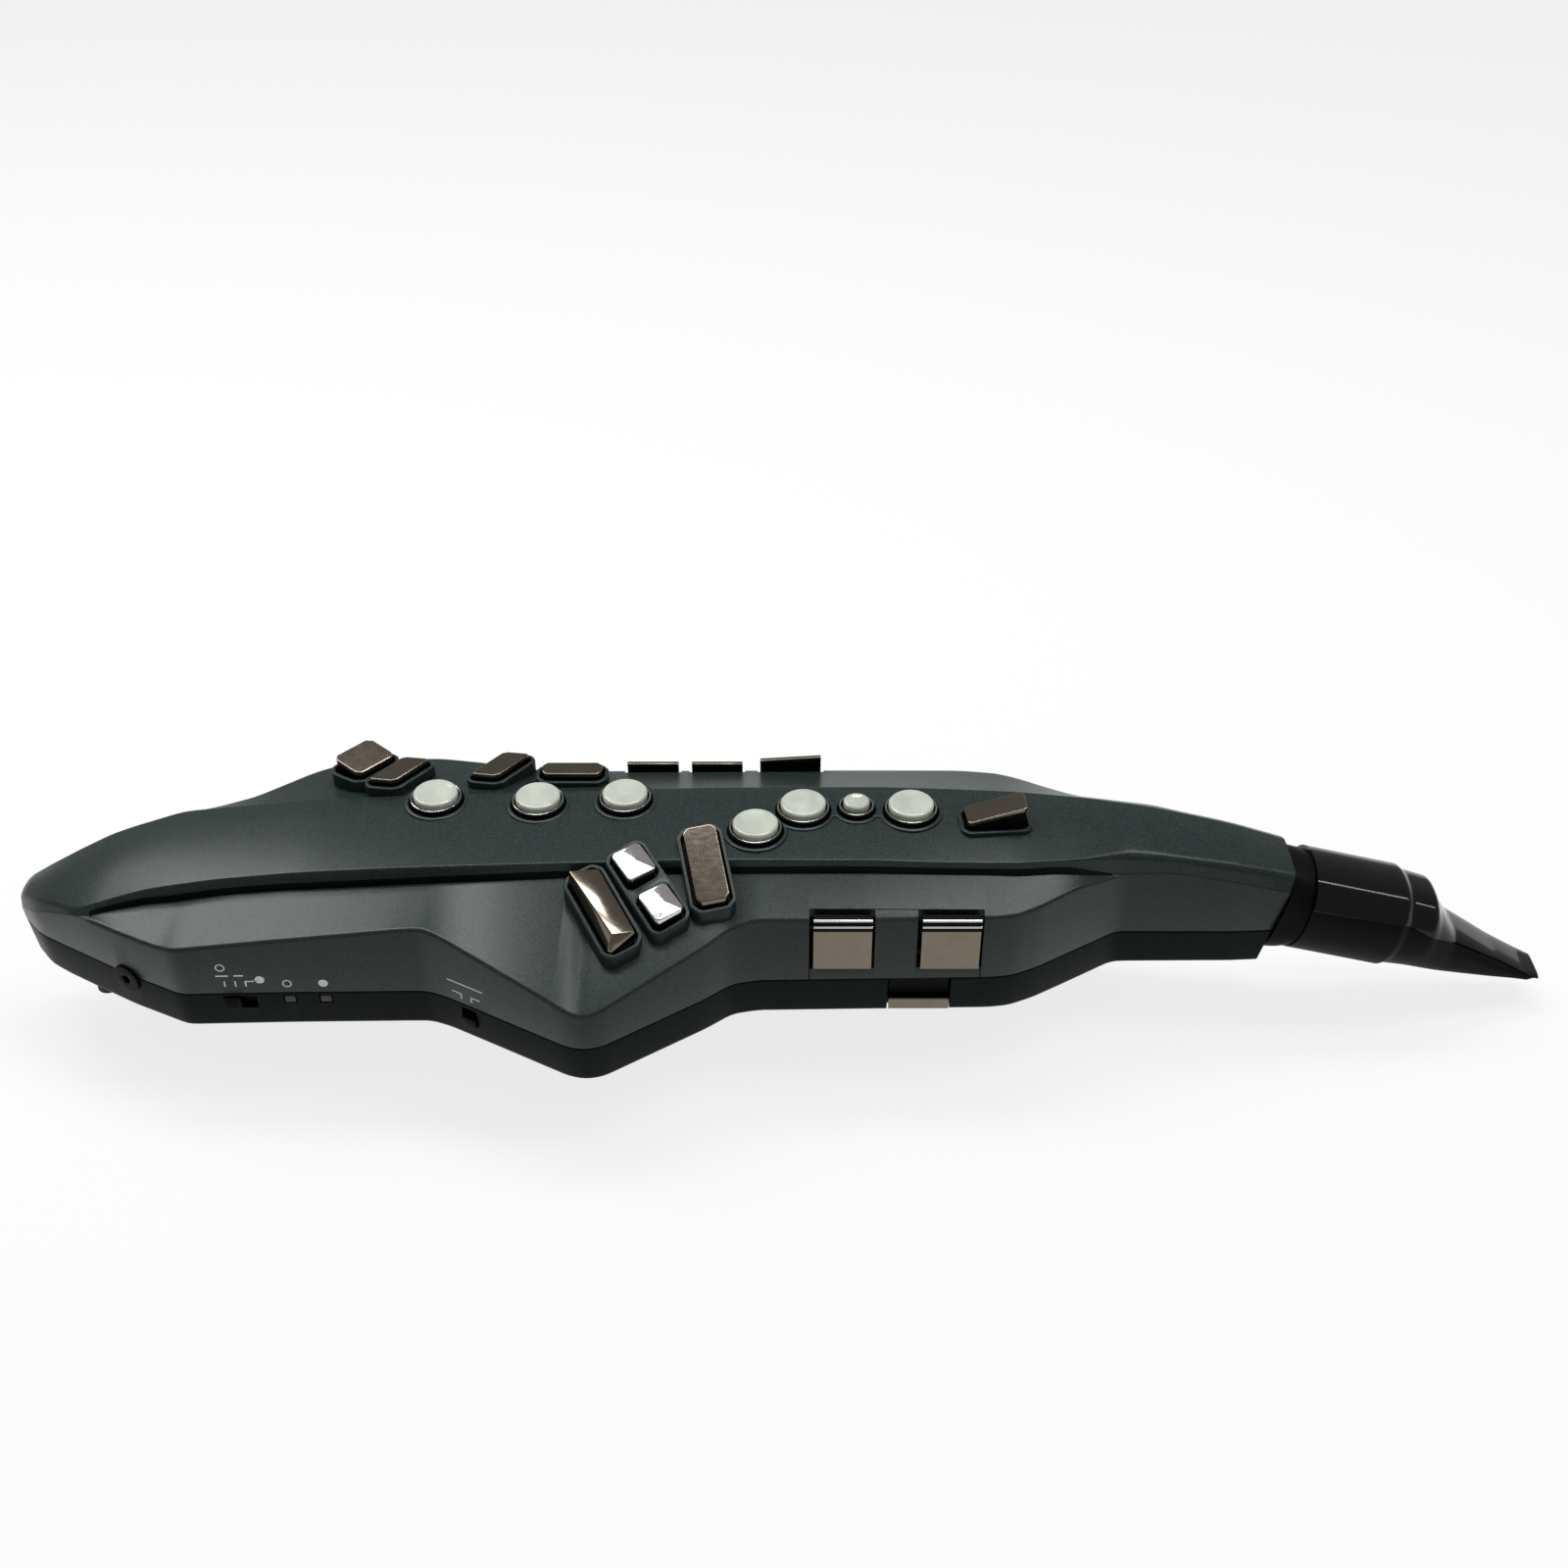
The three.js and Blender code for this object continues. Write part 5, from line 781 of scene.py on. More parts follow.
ring_group, ring_sockets = ring_tree()
RING_WIDTH, RING_HEIGHT, RING_EDGE = 0.55, 0.7, 0.25
RING_INSET, RING_Z = 0.35, 2.6
DISC_RADIUS, SMALL_DISC_RADIUS = 8.3, 4.8
CUP_DEPTH, CUP_TOP, CUP_FLOOR, CUP_EDGE = 7, 2.4, 1.2, 0.2
DISC_FIT = 0.3
DISC_TOP, DISC_EDGE = 5.0, 1.1
DISH_DEPTH, DISH_SHARE = 0.75, 0.84
for name, (x, y, radius) in ROUND_KEYS.items():
    body = f"key_{name}"
    skin_z = at_station(SPINE_Z, x)
    disc = SMALL_DISC_RADIUS if name == "small" else DISC_RADIUS
    low, high, floor_z = skin_z - CUP_DEPTH, skin_z + CUP_TOP, skin_z + CUP_FLOOR
    cup = turned("cup", [(0, low), (radius, low), (radius, skin_z + 2.2), (radius - CUP_EDGE, high),
                         (disc + DISC_FIT, high), (disc + DISC_FIT, floor_z), (0, floor_z)], (x, y, 0), 96)
    dress(cup, f"{body}_cup", satin_black)
    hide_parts(f"key_cup_{name}")
    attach(cup, body)
    ring = grown(f"{body}_plated_ring", ring_group, ring_sockets,
                 {"Radius": (radius - RING_INSET - RING_WIDTH / 2) * MM, "Bar Width": RING_WIDTH * MM,
                  "Bar Height": RING_HEIGHT * MM, "Edge": RING_EDGE * MM, "Metal": ring_nickel},
                 (x, y, skin_z + RING_Z))
    dress(ring, f"{body}_plated_ring", ring_nickel)
    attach(ring, body)
    top = skin_z + DISC_TOP
    edge = [(disc - DISC_EDGE * (1 - math.sin(a)), top - DISC_EDGE * (1 - math.cos(a)))
            for a in np.linspace(math.pi / 2, 0, 8)]
    dish = [(share * disc, top - DISH_DEPTH * (1 - (share / DISH_SHARE) ** 2))
            for share in (DISH_SHARE, 0.76, 0.66, 0.54, 0.4, 0.2)]
    button = turned("pearl", [(0, skin_z + 1.4), (disc - 0.1, skin_z + 1.4), (disc, skin_z + 1.6)] + edge + dish
                    + [(0, top - DISH_DEPTH)], (x, y, 0), 96)
    dress(button, f"{body}_pearl_disc", pearl, 60)
    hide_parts(f"key_pearl_{name}")
    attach(button, body)

# ---- Touch plates ----
# Lever keys for the little fingers, the palm side and the front. Each is a black moulded key body that
# slides in its rim, with a thin plated cap pressed over it. The ridged cap is folded along its left edge.
KEY_RISE = 2.4
CAP_DEPTH = 1.6
SMALL_CROWN = 0.9
LEVER_LOW_Z, LEVER_SLOPE = 86.6, 0.27
TALL_SLOPE, SMALL_SLOPE = 0.26, 0.22


def lever_top(x, y):
    """The front lever climbs from its end near the bell towards the mouthpiece."""
    (x0, _, _), length, *_ = PLATES["front_lever_key"]
    return LEVER_LOW_Z + LEVER_SLOPE * (x - x0 + length / 2)


def in_key(name, x, y):
    """A place as it lies in a key's own frame: along its length and across it."""
    (x0, y0, angle), *_ = PLATES[name]
    c, s = math.cos(math.radians(angle)), math.sin(math.radians(angle))
    return (x - x0) * c + (y - y0) * s, (y - y0) * c - (x - x0) * s


def tall_top(x, y):
    """The tall plate climbs across its width, away from the player."""
    half_width = PLATES["right_side_key_tall"][2] / 2
    return SIDE_RIM_Z + KEY_RISE + TALL_SLOPE * (half_width + in_key("right_side_key_tall", x, y)[1])


def small_top(name):
    """The top of a small plate: it tilts back and has a soft ridge along its middle."""
    (x0, y0, _), *_ = PLATES[name]

    def top(x, y):
        across = in_key(name, x, y)[1]
        crown = SMALL_CROWN * (1 - math.sqrt(across ** 2 + 0.8) / 5.7)
        return cluster_rim(x0, y0) + KEY_RISE + SMALL_SLOPE * (y - y0) + crown
    return top


# The two small plates are capped in the paler chrome instead of dark nickel: painted highlight, for the lamps'
# reflection that whitens them.
PAINTED_HIGHLIGHT_PLATES = ("little_finger_key_small_upper", "little_finger_key_small_lower")
TOPS = {"front_lever_key": lever_top, "right_side_key_tall": tall_top}
TOPS.update({name: small_top(name) for name in PAINTED_HIGHLIGHT_PLATES})


def from_key(name, along, across):
    """A place in a key's own frame, as x and y."""
    (x, y, angle), *_ = PLATES[name]
    c, s = math.cos(math.radians(angle)), math.sin(math.radians(angle))
    return x + c * along - s * across, y + s * along + c * across


# Corners of the ridged cap, along and across its key and over its rim: the ridge's two ends, the right side's
# two, the tip, and the left side's two. It has a sloping top, a steep left side and a three-sided end.
FOLDED = "little_finger_key_ridged"
FOLDED_CORNERS = [(-15.2, -5.1, 5.5), (13.6, -3.2, 5.2), (-13.2, 5.4, 2.3), (14.4, 5.4, 2.3), (15.6, -4.6, 0.5),
                  (14.6, -5.5, 0.5), (-15.2, -5.6, 0.9)]
FOLDED_FACES = [(0, 1, 3, 2), (1, 4, 3), (0, 6, 5, 1), (1, 5, 4), (0, 2, 6)]
FOLDED_FOOT = (2, 3, 4, 5, 6)
FOLD_ROUND = 0.45


def folded_cap(name):
    """The ridged cap on its key, with its folds rounded and its foot left sharp."""
    rim = PLATES[name][5]
    places = [from_key(name, along, across) for along, across, _ in FOLDED_CORNERS]
    tops = [(x, y, rim(x, y) + over) for (x, y), (*_, over) in zip(places, FOLDED_CORNERS)]
    feet = [(*places[k], rim(*places[k]) - 1.0) for k in FOLDED_FOOT]
    base = list(range(len(tops), len(tops) + len(feet)))
    sides = [(a, b, d, c) for a, b, c, d in zip(FOLDED_FOOT, FOLDED_FOOT[1:] + FOLDED_FOOT[:1],
                                                base, base[1:] + base[:1])]
    faces = FOLDED_FACES + sides + [base]
    piece = solid("cap", tops + feet, faces)
    editor = bmesh.new()
    editor.from_mesh(piece.data)
    sharp = [e for e in editor.edges if len(e.link_faces) == 2 and e.calc_face_angle(0) > 0.15
             and min(v.co.z for v in e.verts) > min(v.co.z for v in editor.verts) + 0.2 * MM]
    bmesh.ops.bevel(editor, geom=sharp, offset=FOLD_ROUND * MM, segments=3, profile=0.5, affect="EDGES")
    editor.to_mesh(piece.data)
    editor.free()
    return piece


SWITCH_TOP_Z = 60.6
for name, ((x, y, _), *_, rim) in PLATES.items():
    top = TOPS.get(name, shifted(rim, KEY_RISE))
    cap_foot = shifted(rim, -1.0) if name == FOLDED else shifted(top, -CAP_DEPTH)
    core = prism("core", key_outline(name, -0.35), shifted(rim, -7), shifted(cap_foot, 0.05))
    skirt = prism("skirt", key_outline(name, 0.6), shifted(rim, -7), shifted(rim, -2.6), 0.3)
    combine(core, skirt, "UNION")
    combine(core, rod("stem", 2.2, SWITCH_TOP_Z, rim(x, y) - 5, (x, y, 0), 24), "UNION")
    dress(core, f"{name}_body", satin_black)
    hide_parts(name)
    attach(core, name)
    if name == FOLDED:
        cap = folded_cap(name)
    else:
        cap = prism("cap", key_outline(name, 0), cap_foot, top, 0.4, 5, 8 if name in PAINTED_HIGHLIGHT_PLATES else 0)
    # The small plates' caps take the paler chrome: painted highlight.
    dress(cap, f"{name}_cap", highlight_chrome if name in PAINTED_HIGHLIGHT_PLATES else dark_nickel, 40)
    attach(cap, name)

# ---- Groove shade strip ----
# A satin black strip in the step between the spine and the left wing, from the bell to the neck: painted shade, a
# dark sheet that stands for the shadow in the groove under the spine's edge. It sits sunk in its groove, and only
# its sloping face shows. A key's well cuts through it.
foot_z, top_z = NEAR_GROOVE_Z, SPINE_Z - NEAR_DROP
strip_rise = np.clip(0.5 * (top_z - foot_z), 0.3, 2.4) * np.clip((119 - STATIONS) / 16, 0.05, 1)
strip_top = NEAR_GROOVE + (SPINE_NEAR - NEAR_GROOVE) * strip_rise / np.maximum(top_z - foot_z, 0.5)
strip_rows = section_rows((
    (NEAR_GROOVE - 0.5, foot_z - 1.0), (NEAR_GROOVE - 0.5, foot_z + 0.08), (strip_top - 0.3, foot_z + strip_rise),
    (strip_top + 0.8, foot_z + strip_rise), (NEAR_GROOVE + 0.8, foot_z - 1.0)))
strip = body_skin("groove_shade_strip", strip_rows, -252, 117)
combine(strip, plate_well("little_finger_key_small_upper"), "DIFFERENCE")
dress(strip, "groove_shade_strip", satin_black)
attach(strip, "case")

# ---- Pieces of the belly and the wall ----
# Small moulded and turned pieces whose form the drawing already gives: they keep it, and their hard edges
# are rounded as a mould or a lathe leaves them. They sit in the holes of the lower shell.


def from_drawing(node, material, edge_mm, body, steps=2, ending="visual"):
    """A piece with the form of a node, with its flat faces whole and its hard edges rounded."""
    name = f"{node}_{ending}"
    piece = linked(name, nodes[node].data.copy())
    editor = bmesh.new()
    editor.from_mesh(piece.data)
    bmesh.ops.remove_doubles(editor, verts=editor.verts, dist=2e-6)
    bmesh.ops.dissolve_limit(editor, angle_limit=math.radians(1.5), verts=editor.verts, edges=editor.edges)
    hard = [e for e in editor.edges if len(e.link_faces) == 2 and e.calc_face_angle(0) > 0.6]
    bmesh.ops.bevel(editor, geom=hard, offset=edge_mm * MM, segments=steps, profile=0.5, affect="EDGES",
                    clamp_overlap=True)
    bmesh.ops.recalc_face_normals(editor, faces=editor.faces)
    editor.to_mesh(piece.data)
    editor.free()
    dress(piece, name, material)
    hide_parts(node)
    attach(piece, body)


# Soft rubber: matt, slightly grey with dust, with a fine leathery grain from the mould.
rubber = plastic("moulded_soft_rubber", "#151515", "#1e1e1d", 0.78, 0.6, 0.03)
# Zinc-plated steel: bright grey with drawn lines that run one way.
steel = plating("zinc_plated_steel", "#9b9c9d", "#b4b5b6", 0.3, 1.5, 0.01)
# Smoked acrylic: nearly black until a lamp behind it is lit, with a hard gloss.
smoked = plastic("smoked_acrylic", "#07080a", "#0c0e11", 0.1, 3, 0.004)
# Gloss black ABS, straight from a polished mould: mirror smooth with the faintest flow lines.
gloss_black = plastic("polished_black_abs", "#040505", "#070808", 0.08, 4, 0.006, 0.25)

for node, material, edge_mm, body, steps in (
    # The battery cover takes the shaded copy of the graphite paint: painted shade, as on the lower shell.
    ("battery_cover", shaded_graphite, 0.4, "battery_cover", 2),
    ("thumb_rest", rubber, 0.6, "case", 3),
    ("thumb_hook", satin_black, 0.8, "case", 3),
    ("octave_key_up", dark_nickel, 0.6, "octave_key_up", 3),
    ("octave_key_down", dark_nickel, 0.6, "octave_key_down", 3),
    ("display_window", smoked, 0.25, "case", 2),
    ("bend_rocker", rubber, 0.6, "bend_rocker", 3),
    ("strap_bracket", steel, 0.4, "case", 2),
    ("strap_ring", steel, 0, "strap_ring", 2),
    ("panel_button_1", rubber, 0.5, "panel_button_1", 3),
    ("panel_button_2", rubber, 0.5, "panel_button_2", 3),
    ("panel_button_3", rubber, 0.5, "panel_button_3", 3),
    ("bell_foot_1", rubber, 0.7, "case", 3),
    ("bell_foot_2", rubber, 0.7, "case", 3),
    ("power_lamp_lens", smoked, 0.15, "case", 2),
    ("link_lamp_lens", smoked, 0.15, "case", 2),
):
    from_drawing(node, material, edge_mm, body, steps)

# ---- Screws of the belly ----
# Nine cross-head screws that draw the two shells together, sunk in round holes of the belly. They are
# black-oxide steel, formed cold, each with a flat round head and a cross for the driver.


def screw_tree():
    """Node tree of screw heads: a rounded disc with a cross cut into it, set on each point that it is given."""
    group, sockets, given = new_tree("screw_heads", "Heads", {
        "Places": "Geometry", "Radius": "Float", "Depth": "Float", "Cross Length": "Float", "Cross Width": "Float",
        "Metal": "Material"})
    head = add_node(group, "GeometryNodeMeshCylinder", {"Vertices": 28},
                    {"Radius": given["Radius"], "Depth": given["Depth"]}).outputs["Mesh"]
    for first, second in (("Cross Length", "Cross Width"), ("Cross Width", "Cross Length")):
        size = add_node(group, "ShaderNodeCombineXYZ", None,
                        {"X": given[first], "Y": given[second], "Z": given["Depth"]})
        cube = add_node(group, "GeometryNodeMeshCube", None, {"Size": size.outputs[0]})
        drop = add_node(group, "ShaderNodeMath", {"operation": "MULTIPLY", 1: -0.6}, {0: given["Depth"]})
        lower_by = add_node(group, "ShaderNodeCombineXYZ", None, {"Z": drop.outputs[0]})
        cube = add_node(group, "GeometryNodeTransform", None,
                        {"Geometry": cube.outputs[0], "Translation": lower_by.outputs[0]})
        cut = add_node(group, "GeometryNodeMeshBoolean", {"operation": "DIFFERENCE"})
        group.links.new(head, cut.inputs[0])
        group.links.new(cube.outputs[0], cut.inputs[1])
        head = cut.outputs[0]
    heads = add_node(group, "GeometryNodeInstanceOnPoints", None, {"Points": given["Places"], "Instance": head})
    close_tree(group, heads.outputs[0], given["Metal"])
    return group, sockets


# Black oxide on steel: a thin dark film that leaves a soft metal shine.
black_oxide = plating("black_oxide_steel", "#1d1d1f", "#2b2b2d", 0.35, 1.2, 0.01)
HEAD_Z = 22.55
screw_group, screw_sockets = screw_tree()
screws = grown("belly_screws", screw_group, screw_sockets,
               {"Radius": 2.6 * MM, "Depth": 1.0 * MM, "Cross Length": 3.0 * MM, "Cross Width": 0.7 * MM,
                "Metal": black_oxide}, points=[(x, y, HEAD_Z) for x, y in SCREWS])
dress(screws, "belly_screws", black_oxide)
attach(screws, "case")

# ---- Palm keys ----
# Two keys for the side of the left hand on the wall, and a third below them in a recess of the lower shell.
# Each is a black lever with a plated plate, whose top edge rolls outwards in two beads under the palm.
# Outlines across the body, as (y, z) points.
PALM_CORE = [(-26.77, 50), (-26.77, 71.3), (-29.7, 71.3), (-29.9, 71.0), (-29.9, 66.0), (-28.85, 65.9),
             (-28.85, 50)]
PALM_FACE = [(-28.85, 48), (-28.85, 65.6), (-29.1, 65.9), (-29.27, 65.7), (-29.27, 48)]
PALM_BEADS = [(-30.0, 71.25), (-30.25, 68.6)]
BEAD_RADIUS = 0.5
LOW_CORE = [(-28.2, 28.4), (-24.07, 28.4), (-24.07, 40.9), (-25.87, 40.9), (-25.87, 32.3), (-28.2, 32.3)]
LOW_FACE = [(-28.87, 28.2), (-28.3, 28.2), (-28.3, 32.4), (-26.3, 32.4), (-26.3, 32.85), (-28.6, 32.85),
            (-28.87, 32.5)]


def along_body(name, profile, low, high):
    """A bar along the body with one outline of (y, z) points."""
    return skin(name, [[(x, y, z) for y, z in profile] for x in (low, low + 0.25, high - 0.25, high)])


for number, (low, high) in enumerate(PALM_KEYS, 1):
    body = f"palm_key_{number}"
    lever = along_body("lever", PALM_CORE, low + 0.05, high - 0.05)
    dress(lever, f"{body}_lever", satin_black)
    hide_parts(body)
    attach(lever, body)
    plate = along_body("plate", PALM_FACE, low, high)
    dress(plate, f"{body}_plate", dark_nickel)
    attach(plate, body)
    for place, (y, z) in zip(("top", "lower"), PALM_BEADS):
        turns = np.linspace(0, 2 * math.pi, 16, endpoint=False)
        circle = [(y + BEAD_RADIUS * math.cos(a), z + BEAD_RADIUS * math.sin(a)) for a in turns]
        bead = along_body("bead", circle, low, high)
        # The beads take the paler chrome: painted highlight, for the two lines of light along each plate's rolled
        # top edge.
        dress(bead, f"{body}_{place}_bead", highlight_chrome, 40)
        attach(bead, body)
low_lever = along_body("lever", LOW_CORE, LOW_PALM[0] + 0.1, LOW_PALM[1] - 0.1)
dress(low_lever, "palm_key_low_lever", satin_black)
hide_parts("palm_key_low")
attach(low_lever, "palm_key_low")
low_plate = along_body("plate", LOW_FACE, *LOW_PALM)
dress(low_plate, "palm_key_low_plate", dark_nickel, 50)
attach(low_plate, "palm_key_low")

# ---- Edge keys ----
# Three upright plates in notches of the far edge, for the side of the right hand. Each is a black lever with
# a plated cap folded over its top edge. The third one's edge climbs towards the neck.
EDGE_LOW_Z, EDGE_TOP_Z = 52.07, 77.6
EDGE_INNER_Y, EDGE_FACE_Y, EDGE_OUTER_Y = 54.1, 55.1, 55.8
FOLD = 0.9
CLIMB_FROM_Z, CLIMB, CLIMB_LENGTH = 79.1, 1.6, 23.25


def climbing_top(x, y):
    return CLIMB_FROM_Z + (x - EDGE_KEYS[2][0]) * CLIMB / CLIMB_LENGTH


def upright(low, high, near, far):
    return [(low, near), (high, near), (high, far), (low, far)]


for number, (low, high) in enumerate(EDGE_KEYS, 1):
    top = climbing_top if number == len(EDGE_KEYS) else flat(EDGE_TOP_Z)
    middle = (low + high) / 2
    lever = prism("lever", upright(low + 0.2, high - 0.2, EDGE_INNER_Y, EDGE_FACE_Y), flat(EDGE_LOW_Z),
                  shifted(top, -FOLD))
    combine(lever, box("stem", (middle - 3.5, 47.1, 60.4), (middle + 3.5, 54.6, 64.9)), "UNION")
    dress(lever, f"right_edge_key_{number}_lever", satin_black)
    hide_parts(f"right_edge_key_{number}")
    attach(lever, f"right_edge_key_{number}")
    cap = prism("cap", upright(low, high, EDGE_INNER_Y, EDGE_OUTER_Y), flat(EDGE_LOW_Z), top, 0.35, 4)
    under = prism("under", upright(low - 1, high + 1, 53, EDGE_FACE_Y), flat(40), shifted(top, -FOLD))
    combine(cap, under, "DIFFERENCE")
    dress(cap, f"right_edge_key_{number}_cap", dark_nickel)
    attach(cap, f"right_edge_key_{number}")

# ---- Switches and socket of the left wall ----
# The power switch slides in a slot under the seam, and a smaller one on the slanted wall. Both are black
# moulded sliders, the power switch with grip ridges. The headphone socket is a black ring round its bore.
for switch in ("power_switch", "bite_switch"):
    from_drawing(switch, satin_black, 0.2, switch, ending="slider")


def ridge_tree():
    """Node tree of grip ridges: a row of small bars, one pitch apart."""
    group, sockets, given = new_tree("grip_ridges", "Ridges", {
        "Pitch": "Float", "Width": "Float", "Depth": "Float", "Height": "Float", "Count": "Int",
        "Plastic": "Material"})
    size = add_node(group, "ShaderNodeCombineXYZ", None,
                    {"X": given["Width"], "Y": given["Depth"], "Z": given["Height"]})
    bar = add_node(group, "GeometryNodeMeshCube", None, {"Size": size.outputs[0]})
    step = add_node(group, "ShaderNodeCombineXYZ", None, {"X": given["Pitch"]})
    row = add_node(group, "GeometryNodeMeshLine", None, {"Count": given["Count"], "Offset": step.outputs[0]})
    bars = add_node(group, "GeometryNodeInstanceOnPoints", None,
                    {"Points": row.outputs[0], "Instance": bar.outputs[0]})
    close_tree(group, bars.outputs[0], given["Plastic"])
    return group, sockets


ridge_group, ridge_sockets = ridge_tree()
knob_low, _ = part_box("power_switch")
ridges = grown("power_switch_grip", ridge_group, ridge_sockets,
               {"Pitch": 1.0 * MM, "Width": 0.45 * MM, "Depth": 0.4 * MM, "Height": 4.2 * MM, "Count": 4,
                "Plastic": satin_black}, (-200.9, knob_low[1] * 1000 - 0.05, 38.1))
dress(ridges, "power_switch_grip", satin_black)
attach(ridges, "power_switch")
from_drawing("headphone_socket", satin_black, 0.3, "case", 3)

# ---- Printed marks ----
# Plain white marks, screen printed on the wall: ticks at the switches' stops, a ring, and dots over the lamps.
# They are made up, and say nothing.
PRINT_DEPTH = 0.05
RING_SIDES = 28
MARK_RADIUS, LINE_WIDTH, FILLED = 1.7, 0.45, 1.69
# Bars as x, z of two corners, and rings as x, z of the middle and the width of the line.
BARS = [(-201.0, 45.6, -200.5, 48.2), (-197.2, 45.6, -196.7, 48.2), (-193.6, 45.6, -193.1, 48.2),
        (-193.1, 47.7, -190.2, 48.2), (-203.4, 50.4, -199.0, 51.0), (-197.0, 50.4, -193.6, 51.0),
        (-116.4, 44.6, -115.9, 47.2), (-119.6, 46.7, -115.9, 47.2), (-112.6, 44.6, -112.1, 47.2),
        (-112.6, 46.7, -109.0, 47.2), (-121.0, 51.4, -107.6, 51.95)]
RINGS = [(-201.2, 54.6, LINE_WIDTH), (-188.2, 48.6, FILLED), (-178.8, 46.6, LINE_WIDTH), (-166.0, 46.6, FILLED)]


def on_ring(x, z, i, radius):
    turn = 2 * math.pi * i / RING_SIDES
    return x + radius * math.cos(turn), z + radius * math.sin(turn)


marks = [[(x0, z0), (x1, z0), (x1, z1), (x0, z1)] for x0, z0, x1, z1 in BARS]
marks += [[on_ring(x, z, i, MARK_RADIUS), on_ring(x, z, i + 1, MARK_RADIUS),
           on_ring(x, z, i + 1, MARK_RADIUS - width), on_ring(x, z, i, MARK_RADIUS - width)]
          for x, z, width in RINGS for i in range(RING_SIDES)]
ink_vertices, ink_faces = [], []
for quad in marks:
    first = len(ink_vertices)
    for depth in (PRINT_DEPTH, -PRINT_DEPTH):
        ink_vertices += [(x, at_station(NEAR_WALL, x) - depth, z) for x, z in quad]
    a, b, c, d, e, f, g, h = range(first, first + 8)
    ink_faces += [(a, b, c, d), (h, g, f, e), (a, e, f, b), (b, f, g, c), (c, g, h, d), (d, h, e, a)]
# White printing ink: a matt film with no thickness to speak of, which reads as crisp pale lines.
ink = plastic("screen_printed_white_ink", "#c9cccb", "#dadcdb", 0.5, 0.5, 0.004)
print_piece = solid("printed_marks", ink_vertices, ink_faces)
dress(print_piece, "printed_marks", ink)
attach(print_piece, "case")

# ---- Neck collar and mouthpiece ----
# The collar closes the neck, and the mouthpiece pushes over its spigot. The mouthpiece is a matt black barrel
# and beak under a hood of polished black, which steps down twice and falls away to the tip over the reed plate.
ALONG_NECK = NECK.to_3x3() @ Matrix.Rotation(math.radians(90), 3, "Y")
BARREL = 18.75
TIP = 112.1


def neck_form(name, table, step=0.8, window=3, grow=0.0, square=0.0):
    """A solid round the neck's axis through (along, half width, top, bottom, squareness), in barrel radii."""
    table = np.array(table)
    at = np.arange(table[0, 0], table[-1, 0] + step / 2, step)
    at[-1] = table[-1, 0]
    columns = [np.interp(at, table[:, 0], table[:, k]) for k in range(1, 5)]
    soft = np.ones(window) / window
    columns = [np.convolve(np.pad(c, window // 2, mode="edge"), soft, "valid") for c in columns]
    turns = np.linspace(0, 2 * math.pi, 72, endpoint=False)
    c, s = np.cos(turns), np.sin(turns)
    rings = []
    for along, half, top, bottom, n in zip(at, *columns):
        power = 2 / (n + square)
        y = (half * BARREL + grow) * np.sign(c) * np.abs(c) ** power
        z = (top + bottom) / 2 * BARREL + ((top - bottom) / 2 * BARREL + grow) * np.sign(s) * np.abs(s) ** power
        rings.append([tuple(NECK @ Vector((along, b, h))) for b, h in zip(y, z)])
    return skin(name, rings)


def neck_rod(radius, low, high):
    return rod("neck_rod", radius, low, high, NECK_POINT, 64, ALONG_NECK)


def across_neck(name, outline):
    """A block through the whole width of the neck, from an outline of points along and over its axis."""
    return skin(name, [[tuple(NECK @ Vector((along, y, over))) for along, over in outline] for y in (-40, 40)])


COLLAR_FORM = [(0.35, 0.8, 0.97, -1.07, 3), (4.9, 0.86, 0.97, -1.03, 2.6), (8.7, 0.97, 0.97, -0.97, 2)]
SPIGOT_RADIUS, SPIGOT_END, AIR_RADIUS = 12.65, 20.7, 9.4
collar = neck_form("collar", COLLAR_FORM)
combine(collar, neck_rod(SPIGOT_RADIUS, 5, SPIGOT_END), "UNION")
combine(collar, neck_rod(AIR_RADIUS, -5, 25), "DIFFERENCE")
dress(collar, "neck_collar_visual", satin_black)
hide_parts("neck_collar")
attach(collar, "case")

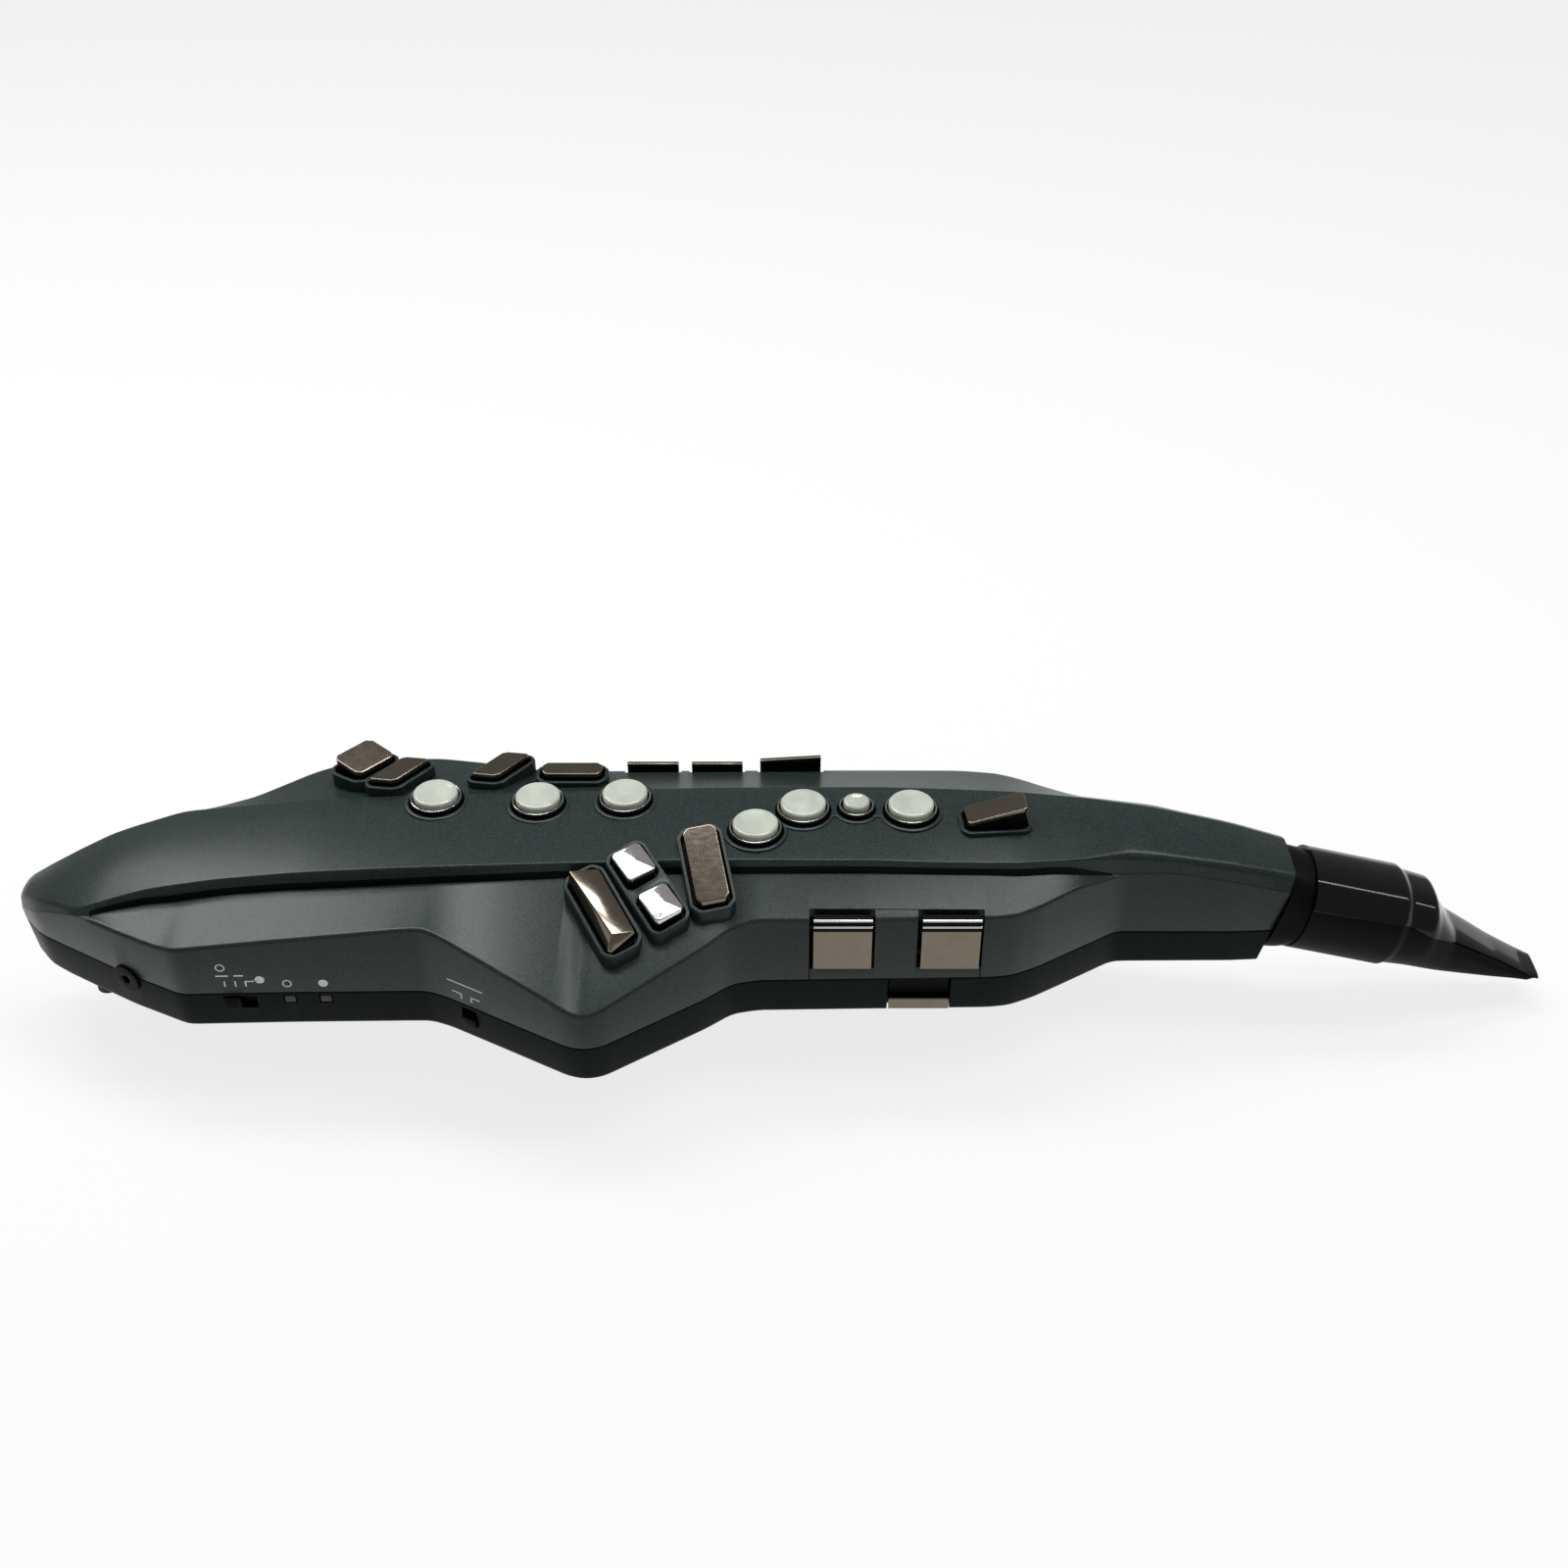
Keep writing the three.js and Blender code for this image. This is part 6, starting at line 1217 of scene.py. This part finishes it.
MOUTH_FORM = [(9.05, 1, 1, -1, 2), (46, 1, 1, -1, 2), (46.8, 0.93, 0.93, -0.93, 2), (58.3, 0.9, 0.88, -0.91, 2),
              (61.5, 0.84, 0.62, -0.87, 2.2), (70.7, 0.72, 0.19, -0.82, 2.6), (92, 0.56, -0.22, -0.74, 2.8),
              (106, 0.46, -0.45, -0.66, 3), (TIP, 0.36, -0.512, -0.6, 3)]
HOOD_LINE = [(8, 8.3), (46, 9.5), (115, -11.4), (115, 40), (8, 40)]
REED_TABLE = [(47.7, -40), (116, -40), (116, -10.02), (47.7, -13.5)]
BORE_RADIUS, BORE_END = 13, 51.6
barrel = neck_form("barrel", MOUTH_FORM)
combine(barrel, across_neck("reed_table", REED_TABLE), "DIFFERENCE")
hood = neck_form("hood", MOUTH_FORM, grow=0.3, square=0.35)
combine(hood, across_neck("over_line", HOOD_LINE), "INTERSECT")
combine(hood, barrel, "DIFFERENCE", keep=True)
combine(barrel, neck_rod(BORE_RADIUS, 0, BORE_END), "DIFFERENCE")
dress(hood, "mouthpiece_hood", gloss_black, 25)
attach(hood, "mouthpiece")
# Matt black ABS: a rougher mould than the hood's, so that the hood's gloss ends in a clear line.
matt_black = plastic("matt_black_moulded_abs", "#030506", "#07090a", 0.5, 0.5, 0.006, 0.08)
dress(barrel, "mouthpiece_barrel", matt_black)
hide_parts("mouthpiece")
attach(barrel, "mouthpiece")
from_drawing("reed_plate", satin_black, 0.25, "mouthpiece")

# ---- Inner parts ----
# What the shells hold: four cells in shrink wrap, two circuit boards with solder mask, the loudspeaker, and
# the breath sensor with the clear tube that feeds it. They show only through the slots and with the cover off.
# Solder mask on glass epoxy: clear green over darker traces, with a lacquer's gloss.
solder_mask = plastic("green_solder_mask_on_glass_epoxy", "#0c3a25", "#1a5a3a", 0.35, 1.2, 0.02)
# Shrink wrap: a thin pale film, tight and slightly rippled over the cells.
shrink_wrap = plastic("plain_shrink_wrap", "#b9bdb6", "#d3d6cf", 0.3, 2.5, 0.01)
# Silicone tube: milky, with a waxy shine.
silicone = plastic("clear_silicone_tube", "#b9bfbf", "#d5dada", 0.25, 2, 0.01)
# Pressed paper: black fibres, quite matt.
paper_cone = plastic("pressed_paper_cone", "#191817", "#26241f", 0.8, 0.5, 0.05)
for node, material, edge_mm in (("battery_cells", shrink_wrap, 0.5), ("main_board", solder_mask, 0.1),
                                ("key_switch_board", solder_mask, 0.1), ("speaker", paper_cone, 0.4),
                                ("breath_sensor", satin_black, 0.4), ("breath_tube", silicone, 0.1)):
    from_drawing(node, material, edge_mm, "case")
